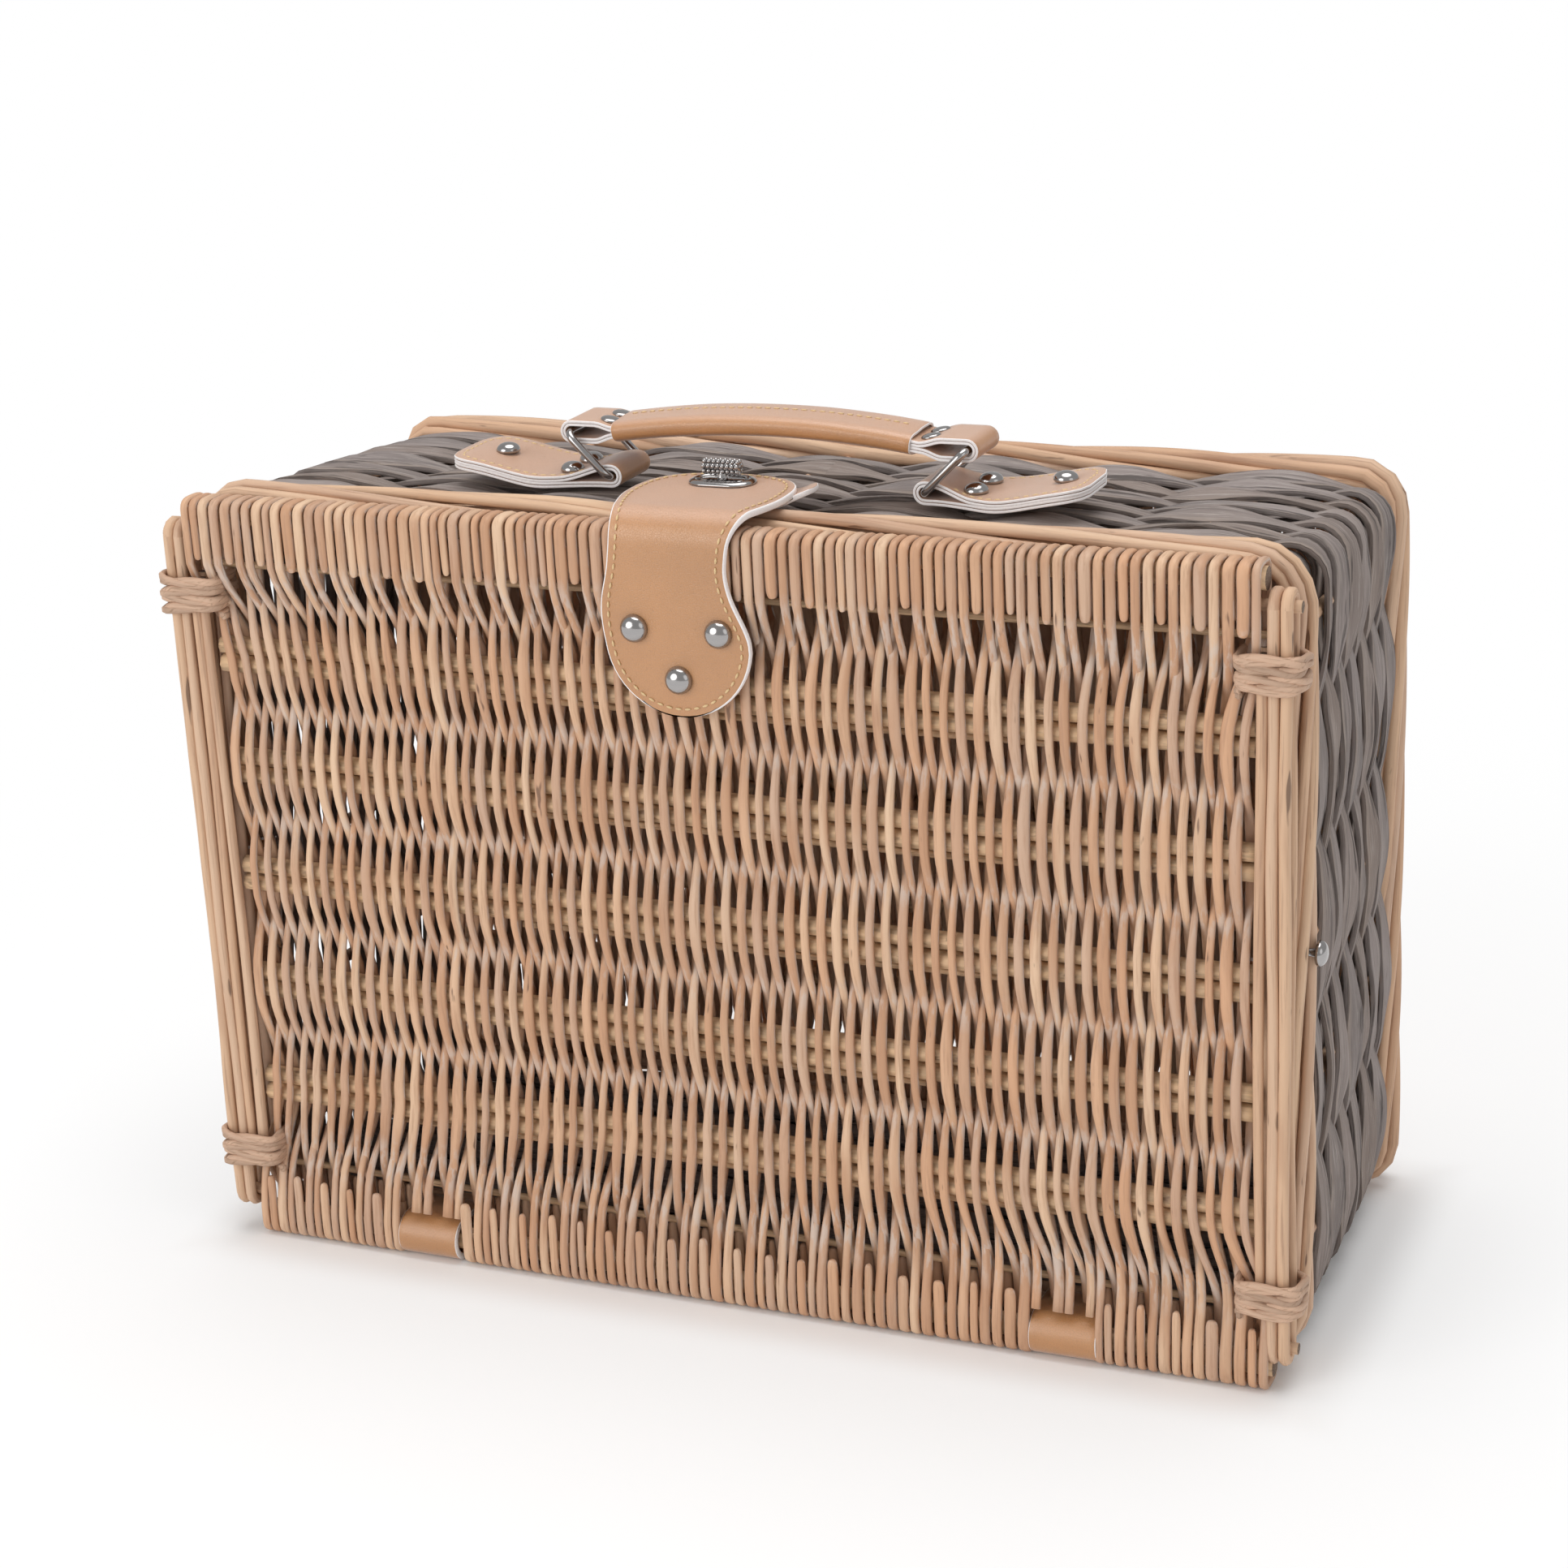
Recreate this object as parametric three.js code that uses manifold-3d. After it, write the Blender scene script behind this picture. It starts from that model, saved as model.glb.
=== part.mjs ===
// Willow picnic hamper standing on its hinge side, lid to the front.
// Millimetres, +X right, +Y to the back, +Z up. The floor is z = 0.
import * as THREE from 'three';
import { mergeVertices } from 'three/addons/utils/BufferGeometryUtils.js';
import Module from 'manifold-3d';

const wasm = await Module();
wasm.setup();

// Fits
const clearance = 0.3; // gap between pieces that touch
const hingePlay = 0.3; // gap round the lid's lower end stick in its leather loops

// Lid
const lidWidth = 440; // over the side rods
const lidStickSpan = 291.5; // between the two end sticks
const endStickDiameter = 11.2;
const stickDiameter = 7;
const weaverThickness = 2.2; // one split willow weaver
const lidWeaverPitch = 3.2; // the lid's weavers run singly
const baseWeaverPitch = 6.4; // the base's weavers run in twos
const weaverRelief = 1.4; // a weaver's stand over the sticks beside it
const pairCount = 5;
const pairPitch = 44.5;
const sideRodWidth = 14; // the rods at one side of the lid, along X
const sideRodInset = 14; // from the end stick's axis to the end of the side rods
const endStickInset = 12; // from the lid's side to the end of an end stick
const lashingReach = 29; // how far a lashing reaches in from the lid's side
const lashingHeight = 18;
const lashingFromAxis = 29; // from an end stick's axis to the middle of a lashing
const lashingTurns = 4;
const cordThickness = 2.2;
const lashingBend = 3; // inner radius of the cord at a corner of the lashing

// Leather hinge loops
const hingeLeather = 2.6;
const hingeWidth = 25.5;
const hingeOffset = 131; // from the middle to each loop
const hingeNotchHeight = 20; // weavers are cut back to this height at a loop

// Rim, walls and base
const lidGap = 0.9; // from the lid's end loops to the rim rods
const rimRodDiameter = 8.7;
const rimRodPitch = 8;
const rimRodProud = 2.5; // rod axis outside the wall's middle surface
const hoopDiameter = 5.6;
const stakeDiameter = 5;
const stakeCount = 24;
const chipThickness = 2.4;
const bandCount = 5;
const bandWidth = 25;
const bandGap = 0.36;
const bandSteps = 2; // points along a band for each stake, besides those at the corners
const borderRodDiameter = 8.4;
const borderRodPitch = 7.8;
const borderRodProud = 2.9;
const borderFlat = 0.5; // depth of the flats that the border rests on
const lidOverhang = 1.95; // lid's side beyond the rim rods
const rimDrop = 1.1; // top wall's middle surface at the rim, below the top end stick's axis
const sideTaper = 3.7; // how far each side wall draws in from the rim to the base
const topTaper = 10; // how far the top wall comes down from the rim to the base
const wallCornerRadius = 20;

// Closure strap and turn-lock
const strapMiddle = -5; // across the lid
const strapThickness = 3;
const strapWaist = 45.5;
const strapLobe = 56.6;
const strapDrop = 63; // from the top end stick's axis to the strap's tip
const tongueLength = 49.3; // the tip stops short of the handle
const tongueLobe = 61;
const strapRivetSpread = 32.6;
const strapRivetDrop = 31; // from the top end stick's axis to the upper pair
const strapRivetStep = 18; // from the upper pair to the lower rivet
const lockFromSplit = 34.5; // knob axis behind the start of the tongue
const eyeletLength = 25.6;
const eyeletWidth = 16;
const eyeletRim = 3.2;
const eyeletFlange = 1.2;
const eyeletSleeve = 0.9;
const lockBossGap = 0.8; // between the lock's boss and the eyelet
const patchLength = 70;
const patchWidth = 21;
const patchThickness = 2.5;
const patchBehind = 2.5; // middle of the patch behind the knob axis
const plateFlange = 0.9;
const knobLength = 15.5;
const knobDiameter = 6.4;
const knobHeight = 4.4; // barrel axis above the eyelet
const knobPostDiameter = 4.4;
const knobPostSeat = 2.4; // depth of the post in the boss
const knobGroove = 0.6; // waist and rounded ends of the barrel

// Dome rivets
const strapRivetDiameter = 10.5;
const strapRivetHeight = 4.5;
const smallRivetDiameter = 9.4;
const smallRivetHeight = 3.4;
const rivetShankDiameter = 3;
const rivetHead = 0.9; // inner head of a rivet that goes right through
const rivetHeadDiameter = 6.5;

// Handle, rings and tabs
const handleMiddle = 4; // across the basket
const handleDepth = 72; // behind the lid's front
const tabLayer = 4.5; // three layers of leather
const tabLoopRadius = 4.4;
const tabLoopWidth = 25.5;
const tabEndWidth = 40;
const tabLength = 66; // from the loop's axis to the outer end
const tabEndRadius = 11;
const tabTaper = 34; // from the loop's axis to the full width
const tabRivetInner = 18; // from the loop's axis
const tabRivetOuter = 49;
const tabRivetSpread = 16;
const ringSpacing = 124; // between the two loop axes
const ringWire = 3;
const ringWidth = 30; // between the long wires' axes
const ringReach = 22.5; // between the two bars' axes
const ringLean = Math.PI / 4; // outward lean at rest
const ringBend = 3.5;
const ringPlay = 0.7;
const handleSlot = 12;
const handleLeather = 2.2;
const handleWidth = 23;
const handleRise = 5;
const gripLength = 122;
const gripWidth = 26;
const gripThickness = 9;

// Lid stays
const stayWidth = 12;
const stayThickness = 1.5;
const stayHeight = 161; // rim rivet above the floor
const stayFold = 44; // depth of the folded strap
const stayTab = 18;

// Places worked out from the sizes
const endStickRadius = endStickDiameter / 2;
const stickRadius = stickDiameter / 2;
const loopRadius = endStickRadius + clearance + weaverThickness;
const lidMiddle = loopRadius;
const hingeInner = endStickRadius + hingePlay;
const hingeOuter = hingeInner + hingeLeather;
const lidAxis = hingeOuter;
const lidTopAxis = lidAxis + lidStickSpan;
const pairMiddle = lidAxis + lidStickSpan / 2;
const stickStep = stickRadius + clearance / 2;
const crest = stickRadius + clearance + weaverThickness;
const lidHalf = lidWidth / 2;
const lidWeaveHalf = lidHalf - sideRodWidth - clearance;
const rimRodRadius = rimRodDiameter / 2;
const rimHalfWidth = lidHalf - lidOverhang - rimRodRadius - rimRodProud;
const rimTop = lidTopAxis - rimDrop;
const baseHalfWidth = rimHalfWidth - sideTaper;
const baseTop = rimTop - topTaper;
const rimFront = lidMiddle + loopRadius + lidGap;
const rimRodFirst = rimFront + rimRodRadius;
const rimBack = rimRodFirst + rimRodPitch + rimRodRadius;
const hoopDepth = rimBack + clearance + hoopDiameter / 2;
const bandFront = hoopDepth + hoopDiameter / 2 + bandGap;
const bandPitch = bandWidth + bandGap;
const borderFront = bandFront + bandCount * bandPitch;
const borderRadius = borderRodDiameter / 2;
const borderFirst = borderFront + borderRadius;
const borderMiddle = borderFirst + borderRodPitch;
const borderBack = borderFirst + 2 * borderRodPitch + borderRadius - borderFlat;
const chipSwing = stakeDiameter / 2 + clearance + chipThickness / 2;
const rimDepth = rimRodFirst + rimRodPitch / 2;
const rimLow = hingeLeather + clearance + rimRodRadius + rimRodProud;
const baseLow = borderRadius + borderRodProud - borderFlat;
const strapInner = loopRadius + clearance;
const strapOuter = strapInner + strapThickness;
const strapFront = lidMiddle - strapOuter;
const tongueStart = lidMiddle + clearance;
const tongueLow = lidTopAxis + strapInner;
const tongueTop = lidTopAxis + strapOuter;
const lockDepth = tongueStart + lockFromSplit;
const frontmost = strapFront - clearance - strapRivetHeight;

// Finishes
const willow = new THREE.MeshStandardMaterial({ color: 0xc39f78, roughness: 0.6 });
const willowDark = new THREE.MeshStandardMaterial({ color: 0x8f6f50, roughness: 0.65 });
const chipWood = new THREE.MeshStandardMaterial({ color: 0x6f665e, roughness: 0.85 });
const leather = new THREE.MeshStandardMaterial({ color: 0xcb9c66, roughness: 0.45 });
const paperCord = new THREE.MeshStandardMaterial({ color: 0xb58f63, roughness: 0.7 });
const steel = new THREE.MeshStandardMaterial({ color: 0xd0d0d2, roughness: 0.15, metalness: 1 });

const hamper = new THREE.Group();
hamper.position.y = -(frontmost + borderBack) / 2;

// Solids

function solid(geometry) {
  geometry.deleteAttribute('normal');
  geometry.deleteAttribute('uv');
  const merged = mergeVertices(geometry, 1e-4);
  const corners = merged.index.array;
  const kept = [];
  for (let i = 0; i < corners.length; i += 3) {
    const [a, b, c] = [corners[i], corners[i + 1], corners[i + 2]];
    if (a !== b && b !== c && c !== a) kept.push(a, b, c);
  }
  return fromArrays(merged.attributes.position.array, kept);
}

function fromArrays(positions, corners) {
  return new wasm.Manifold(new wasm.Mesh({
    numProp: 3,
    vertProperties: new Float32Array(positions),
    triVerts: new Uint32Array(corners),
  }));
}

// The same solid on the other side of the plane x = middle
function mirrored(body, middle = 0) {
  const mesh = body.getMesh();
  const positions = mesh.vertProperties.map((v, i) => (i % 3 === 0 ? 2 * middle - v : v));
  return fromArrays(positions, mesh.triVerts.slice().reverse());
}

function place(name, body, finish) {
  const mesh = body.getMesh();
  const geometry = new THREE.BufferGeometry();
  geometry.setAttribute('position', new THREE.BufferAttribute(mesh.vertProperties, 3));
  geometry.setIndex(new THREE.BufferAttribute(mesh.triVerts, 1));
  geometry.computeVertexNormals();
  const piece = new THREE.Mesh(geometry, finish.clone());
  piece.name = name;
  hamper.add(piece);
}

const axisX = new THREE.Vector3(1, 0, 0);
const axisY = new THREE.Vector3(0, 1, 0);
const axisZ = new THREE.Vector3(0, 0, 1);
const turnToX = new THREE.Matrix4().makeBasis(axisY, axisZ, axisX);
const turnToY = new THREE.Matrix4().makeBasis(axisX, axisZ, axisY.clone().negate());

function extruded(shape, depth, curveSegments) {
  return new THREE.ExtrudeGeometry(shape, { depth, bevelEnabled: false, curveSegments });
}

// Shape drawn in Y and Z
function prismX(shape, from, to, segments = 3) {
  return solid(extruded(shape, to - from, segments).applyMatrix4(turnToX).translate(from, 0, 0));
}

// Shape drawn in X and Z
function prismY(shape, from, to, segments = 3) {
  return solid(extruded(shape, to - from, segments).applyMatrix4(turnToY).translate(0, to, 0));
}

// Shape drawn in X and Y
function prismZ(shape, from, to, segments = 3) {
  return solid(extruded(shape, to - from, segments).translate(0, 0, from));
}

function block(low, high) {
  const size = high.map((v, i) => v - low[i]);
  const middle = high.map((v, i) => (v + low[i]) / 2);
  return solid(new THREE.BoxGeometry(...size).translate(...middle));
}

function roundBar(radius, length, sides = 10) {
  return new THREE.CylinderGeometry(radius, radius, length, sides);
}

// Skin over rings of points, each ring with the same number of points
function loft(rings, closed) {
  const count = rings[0].length;
  const positions = rings.flat().flatMap((p) => [p.x, p.y, p.z]);
  const corners = [];
  const spans = closed ? rings.length : rings.length - 1;
  for (let i = 0; i < spans; i += 1) {
    const a = i * count;
    const b = ((i + 1) % rings.length) * count;
    for (let j = 0; j < count; j += 1) {
      const k = (j + 1) % count;
      corners.push(a + j, a + k, b + k, a + j, b + k, b + j);
    }
  }
  if (!closed) {
    const last = (rings.length - 1) * count;
    for (let j = 1; j < count - 1; j += 1) {
      corners.push(0, j + 1, j, last, last + j, last + j + 1);
    }
  }
  const geometry = new THREE.BufferGeometry();
  geometry.setAttribute('position', new THREE.Float32BufferAttribute(positions, 3));
  geometry.setIndex(corners);
  const body = solid(geometry);
  return body.volume() > 0 ? body : solid(geometry.setIndex(corners.reverse()));
}

// Outlines

function oval(length, width, x = 0, y = 0, asHole = false) {
  const outline = asHole ? new THREE.Path() : new THREE.Shape();
  const radius = width / 2;
  const reach = length / 2 - radius;
  outline.absarc(x + reach, y, radius, -Math.PI / 2, Math.PI / 2, false);
  outline.absarc(x - reach, y, radius, Math.PI / 2, (3 * Math.PI) / 2, false);
  outline.closePath();
  return outline;
}

function tallOval(height, width, x, y, asHole = false) {
  const outline = asHole ? new THREE.Path() : new THREE.Shape();
  const radius = width / 2;
  const reach = height / 2 - radius;
  outline.absarc(x, y + reach, radius, 0, Math.PI, false);
  outline.absarc(x, y - reach, radius, Math.PI, 2 * Math.PI, false);
  outline.closePath();
  return outline;
}

// Twelve-sided hole whose flats clear the radius
function roundHole(radius, x, y) {
  const hole = new THREE.Path();
  const reach = radius / Math.cos(Math.PI / 12);
  hole.absarc(x, y, reach, 0, Math.PI, false);
  hole.absarc(x, y, reach, Math.PI, 2 * Math.PI, false);
  return hole;
}

function roundedBox(half, low, high, radius, outline = new THREE.Shape()) {
  outline.moveTo(0, high);
  outline.lineTo(half - radius, high);
  outline.absarc(half - radius, high - radius, radius, Math.PI / 2, 0, true);
  outline.lineTo(half, low + radius);
  outline.absarc(half - radius, low + radius, radius, 0, -Math.PI / 2, true);
  outline.lineTo(radius - half, low);
  outline.absarc(radius - half, low + radius, radius, -Math.PI / 2, -Math.PI, true);
  outline.lineTo(-half, high - radius);
  outline.absarc(radius - half, high - radius, radius, Math.PI, Math.PI / 2, true);
  outline.lineTo(0, high);
  return outline;
}

// Strap end: a waist that runs out into a round lobe, from start towards tip
function strapEnd(middle, start, tip, lobeWidth) {
  const way = Math.sign(tip - start);
  const waist = strapWaist / 2;
  const lobe = lobeWidth / 2;
  const centre = tip - way * lobe;
  const run = Math.min(lobe, Math.abs(centre - start));
  const neck = centre - way * run;
  const outline = new THREE.Shape();
  outline.moveTo(middle - waist, start);
  outline.lineTo(middle + waist, start);
  outline.lineTo(middle + waist, neck);
  outline.bezierCurveTo(middle + waist, neck + way * run / 2,
    middle + lobe, centre - way * run / 2, middle + lobe, centre);
  outline.absarc(middle, centre, lobe, 0, way * Math.PI, way < 0);
  outline.bezierCurveTo(middle - lobe, centre - way * run / 2,
    middle - waist, neck + way * run / 2, middle - waist, neck);
  outline.closePath();
  return outline;
}

// Dome rivet on the Y axis: dome above zero, shank below, with an inner head if it goes through
function rivet(diameter, height, shank, headed = false) {
  const radius = diameter / 2;
  const shankRadius = rivetShankDiameter / 2;
  const profile = [new THREE.Vector2(0, -shank - (headed ? rivetHead : 0))];
  if (headed) {
    profile.push(new THREE.Vector2(rivetHeadDiameter / 2, -shank - rivetHead));
    profile.push(new THREE.Vector2(rivetHeadDiameter / 2, -shank));
  }
  profile.push(new THREE.Vector2(shankRadius, -shank));
  profile.push(new THREE.Vector2(shankRadius, 0));
  const domeSteps = 3;
  for (let i = 0; i <= domeSteps; i += 1) {
    const turn = (i / domeSteps) * (Math.PI / 2);
    profile.push(new THREE.Vector2(radius * Math.cos(turn), height * Math.sin(turn)));
  }
  profile[profile.length - 1].x = 0;
  return new THREE.LatheGeometry(profile, 10);
}

function shankHole(length) {
  return roundBar(rivetShankDiameter / 2 + clearance, length, 8);
}

// Woven panel: weavers part round each pair of sticks and cross between the pairs

function panelHalf(z, centres) {
  const next = centres.findIndex((c) => c.z >= z);
  const above = centres[next === -1 ? centres.length - 1 : next];
  const below = centres[Math.max(0, (next === -1 ? centres.length : next) - 1)];
  const span = above.z - below.z;
  const nearest = z - below.z < above.z - z ? below : above;
  if (span === 0) return nearest.half;
  const swell = 0.5 + 0.5 * Math.cos((2 * Math.PI * (z - nearest.z)) / span);
  return weaverThickness + (nearest.half - weaverThickness) * swell;
}

function panelSide(outline, centres, middle, from, to, side) {
  const steps = Math.round(Math.abs(to - from) / (pairPitch / 6));
  for (let i = 0; i <= steps; i += 1) {
    const z = from + ((to - from) * i) / steps;
    outline.lineTo(middle + side * panelHalf(z, centres), z);
  }
}

function pairCentres(middle) {
  const first = middle - ((pairCount - 1) / 2) * pairPitch;
  return Array.from({ length: pairCount }, (_, i) => ({ z: first + i * pairPitch, half: crest }));
}

function pairBore(half, y, z) {
  const bore = stickDiameter + 2 * clearance;
  return prismX(tallOval(bore + 2 * stickStep, bore, y, z), -half - 1, half + 1);
}

// Outer face of a panel: every second weaver stands out over a pair, and the others over the next
function wovenFace(half, pitch, pairs, middle, side) {
  const count = 2 * Math.floor(half / pitch);
  const column = (j) => -half + (2 * half * j) / count;
  const behind = middle - (side * weaverThickness) / 2;
  const ring = (z, x, stand) => [
    new THREE.Vector3(-half, behind, z),
    ...Array.from({ length: count + 1 }, (_, j) => (
      new THREE.Vector3(column(x(j)), middle + side * stand(j), z))),
    new THREE.Vector3(half, behind, z),
  ];
  const gathered = (j) => Math.min(4 * Math.round(j / 4), count);
  const crossing = (z) => ring(z, gathered, () => weaverThickness);
  const rings = pairs.flatMap((pair, k) => [
    crossing(pair.z - pairPitch / 2),
    ring(pair.z, (j) => j, (j) => ((j + k) % 2 ? crest : crest - weaverRelief)),
  ]);
  const last = pairs[pairs.length - 1].z + pairPitch / 2;
  return loft([...rings, crossing(last)], false);
}

// Panel with its outer face woven and the bores for its sticks
function woven(panel, half, pitch, pairs, middle, side) {
  const low = pairs[0].z - pairPitch / 2;
  const high = pairs[pairs.length - 1].z + pairPitch / 2;
  const outside = middle + side * 4 * crest;
  const face = block(
    [-half - 1, Math.min(middle, outside), low],
    [half + 1, Math.max(middle, outside), high],
  );
  const body = panel.subtract(face).add(wovenFace(half, pitch, pairs, middle, side));
  return pairs.reduce((rest, c) => rest.subtract(pairBore(half, middle, c.z)), body);
}

// Lid

function lidWeave() {
  const pairs = pairCentres(pairMiddle);
  const ends = [lidAxis, lidTopAxis].map((z) => ({ z, half: loopRadius }));
  const centres = [ends[0], ...pairs, ends[1]];
  const section = new THREE.Shape();
  section.moveTo(lidMiddle - loopRadius, lidAxis);
  panelSide(section, centres, lidMiddle, lidAxis, lidTopAxis, -1);
  section.absarc(lidMiddle, lidTopAxis, loopRadius, Math.PI, 0, true);
  panelSide(section, centres, lidMiddle, lidTopAxis, lidAxis, 1);
  section.absarc(lidMiddle, lidAxis, loopRadius, 0, -Math.PI, true);
  section.holes.push(...ends.map((c) => roundHole(endStickRadius + clearance, lidMiddle, c.z)));
  const panel = prismX(section, -lidWeaveHalf, lidWeaveHalf);
  let weave = woven(panel, lidWeaveHalf, lidWeaverPitch, pairs, lidMiddle, -1);
  const reach = 2 * loopRadius;
  for (const side of [-1, 1]) {
    const half = hingeWidth / 2 + 2 * clearance;
    weave = weave.subtract(block(
      [side * hingeOffset - half, lidMiddle - reach, -reach],
      [side * hingeOffset + half, lidMiddle + reach, hingeNotchHeight],
    ));
    const inner = lidHalf + clearance + cordThickness - lashingReach;
    const near = Math.min(side * (inner - cordThickness - clearance), side * (inner + clearance));
    const width = cordThickness + 2 * clearance;
    for (const z of lashingHeights()) {
      weave = weave.subtract(block(
        [near, lidMiddle - reach, z - lashingHeight / 2 - clearance],
        [near + width, lidMiddle + reach, z + lashingHeight / 2 + clearance],
      ));
    }
  }
  return weave;
}

function lashingHeights() {
  return [lidAxis + lashingFromAxis, lidTopAxis - lashingFromAxis];
}

function stick(radius, half, y, z, sides) {
  return solid(roundBar(radius, 2 * half, sides).rotateZ(-Math.PI / 2).translate(0, y, z));
}

// Cord wound round the side rods and through the weave, at the right of the lid
function lashing(height) {
  const outer = lidHalf + clearance;
  const inner = lidHalf + clearance + cordThickness - lashingReach;
  const half = (outer - inner) / 2;
  const deep = crest + clearance;
  const path = roundedBox(half, -deep, deep, lashingBend, new THREE.Path());
  const turn = lashingHeight / lashingTurns;
  const low = height - lashingHeight / 2;
  const section = [[0, low + lashingHeight], [0, low]];
  for (let i = 0; i < lashingTurns; i += 1) {
    section.push([cordThickness / 2, low + i * turn], [cordThickness, low + (i + 0.5) * turn]);
  }
  section.push([cordThickness / 2, low + lashingHeight]);
  const rings = cornerTurns(path, 2).map((t) => {
    const { point, normal } = pathFrame(path, t);
    return section.map(([n, z]) => new THREE.Vector3(
      (outer + inner) / 2 + point.x + normal.x * n,
      lidMiddle + point.y + normal.y * n,
      z,
    ));
  });
  return loft(rings, true);
}

// Rounded paths: the turns at which corners need points, and the point and outward normal there

function cornerTurns(path, steps) {
  const ends = path.getCurveLengths();
  const whole = ends[ends.length - 1];
  const turns = [];
  path.curves.forEach((curve, i) => {
    if (!curve.isEllipseCurve) return;
    const start = ends[i] - curve.getLength();
    for (let j = 0; j <= steps; j += 1) turns.push((start + (curve.getLength() * j) / steps) / whole);
  });
  return turns;
}

function pathFrame(path, turn) {
  const nudge = 1e-4;
  const point = path.getPoint(turn % 1);
  const before = path.getPoint((turn + 1 - nudge) % 1);
  const after = path.getPoint((turn + nudge) % 1);
  const along = after.sub(before).normalize();
  return { point, normal: new THREE.Vector2(-along.y, along.x) };
}

// Walls: the middle surface narrows evenly from the rim to the base

function wallSize(y) {
  const t = (y - rimDepth) / (borderMiddle - rimDepth);
  return {
    half: THREE.MathUtils.lerp(rimHalfWidth, baseHalfWidth, t),
    low: THREE.MathUtils.lerp(rimLow, baseLow, t),
    high: THREE.MathUtils.lerp(rimTop, baseTop, t),
  };
}

function wallPath(y) {
  const { half, low, high } = wallSize(y);
  return roundedBox(half, low, high, wallCornerRadius, new THREE.Path());
}

function wallPoint(path, turn, y, outward) {
  const { point, normal } = pathFrame(path, turn);
  return new THREE.Vector3(point.x + normal.x * outward, y, point.y + normal.y * outward);
}

// Rods laid side by side: outline of the band of rods in depth and outward distance
function rodBand(count, radius, pitch, first, proud) {
  const steps = 3;
  const neck = Math.acos(pitch / 2 / radius);
  const outside = [];
  for (let i = 0; i < count; i += 1) {
    const from = i === 0 ? Math.PI : Math.PI - neck;
    const to = i === count - 1 ? 0 : neck;
    for (let j = 0; j <= steps; j += 1) {
      if (i > 0 && j === 0) continue;
      const turn = from + ((to - from) * j) / steps;
      outside.push([first + i * pitch + radius * Math.cos(turn), radius * Math.sin(turn)]);
    }
  }
  const inside = outside.slice(1, -1).reverse().map(([y, n]) => [y, -n]);
  return [...outside, ...inside].map(([y, n]) => [y, n + proud]);
}

function wallRing(section, middle, steps = 4) {
  const turns = cornerTurns(wallPath(middle), steps);
  const paths = new Map(section.map(([y]) => [y, wallPath(y)]));
  return loft(turns.map((t) => section.map(([y, n]) => wallPoint(paths.get(y), t, y, n))), true);
}

function chipBand(index) {
  const front = bandFront + index * bandPitch;
  const back = front + bandWidth;
  const paths = [wallPath(front), wallPath(back)];
  const side = index % 2 === 0 ? 1 : -1;
  const count = stakeCount * bandSteps;
  const even = Array.from({ length: count }, (_, i) => i / count);
  const turns = [...even, ...cornerTurns(paths[0], 2)].sort((a, b) => a - b);
  const rings = turns.map((turn) => {
    const swing = side * chipSwing * Math.cos(Math.PI * (stakeCount * turn - 0.5));
    const outer = swing + chipThickness / 2;
    const inner = swing - chipThickness / 2;
    return [
      wallPoint(paths[0], turn, front, outer),
      wallPoint(paths[1], turn, back, outer),
      wallPoint(paths[1], turn, back, inner),
      wallPoint(paths[0], turn, front, inner),
    ];
  });
  return loft(rings, true);
}

function stakeFrame() {
  const hoopRadius = hoopDiameter / 2;
  const sides = 6;
  const hoopSection = Array.from({ length: sides }, (_, i) => {
    const turn = (i / sides) * 2 * Math.PI;
    return [hoopDepth + hoopRadius * Math.cos(turn), hoopRadius * Math.sin(turn)];
  });
  let frame = wallRing(hoopSection, hoopDepth);
  const tail = borderFront - clearance;
  const paths = [wallPath(hoopDepth), wallPath(tail)];
  for (let k = 0; k < stakeCount; k += 1) {
    const turn = (k + 0.5) / stakeCount;
    const rings = [hoopDepth, tail].map((y, end) => {
      const middle = wallPoint(paths[end], turn, y, 0);
      return Array.from({ length: sides }, (_, i) => {
        const angle = (i / sides) * 2 * Math.PI;
        const radius = stakeDiameter / 2;
        return new THREE.Vector3(
          middle.x + radius * Math.cos(angle),
          y,
          middle.z + radius * Math.sin(angle),
        );
      });
    });
    frame = frame.add(loft(rings, false));
  }
  return frame;
}

function hingeRing(play) {
  const rear = rimRodFirst;
  const length = rear - lidMiddle;
  const ring = oval(length + 2 * (hingeOuter + play), 2 * (hingeOuter + play),
    lidMiddle + length / 2, lidAxis);
  ring.holes.push(oval(length + 2 * (hingeInner - play), 2 * (hingeInner - play),
    lidMiddle + length / 2, lidAxis, true));
  return ring;
}

function hingeStrap(side, play = 0) {
  const half = hingeWidth / 2 + play;
  return prismX(hingeRing(play), side * hingeOffset - half, side * hingeOffset + half, 4);
}

function rimBorder() {
  const section = rodBand(2, rimRodRadius, rimRodPitch, rimRodFirst, rimRodProud);
  let border = wallRing(section, rimDepth);
  for (const side of [-1, 1]) {
    border = border.subtract(hingeStrap(side, clearance));
    border = border.subtract(solid(shankHole(4 * rimRodDiameter).rotateZ(Math.PI / 2)
      .translate(side * rimHalfWidth, rimDepth, stayHeight)));
  }
  return border;
}

function baseBorder() {
  const section = rodBand(3, borderRadius, borderRodPitch, borderFirst, borderRodProud);
  const border = wallRing(section, borderMiddle);
  const reach = lidWidth;
  const kept = block([-reach, 0, 0], [reach, borderBack, reach]);
  return border.intersect(kept);
}

function baseLimits() {
  const inset = borderRadius - borderRodProud + clearance;
  const front = wallSize(borderFirst);
  const back = wallSize(borderBack);
  return { half: back.half - inset, low: front.low + inset, high: back.high - inset, inset };
}

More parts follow.
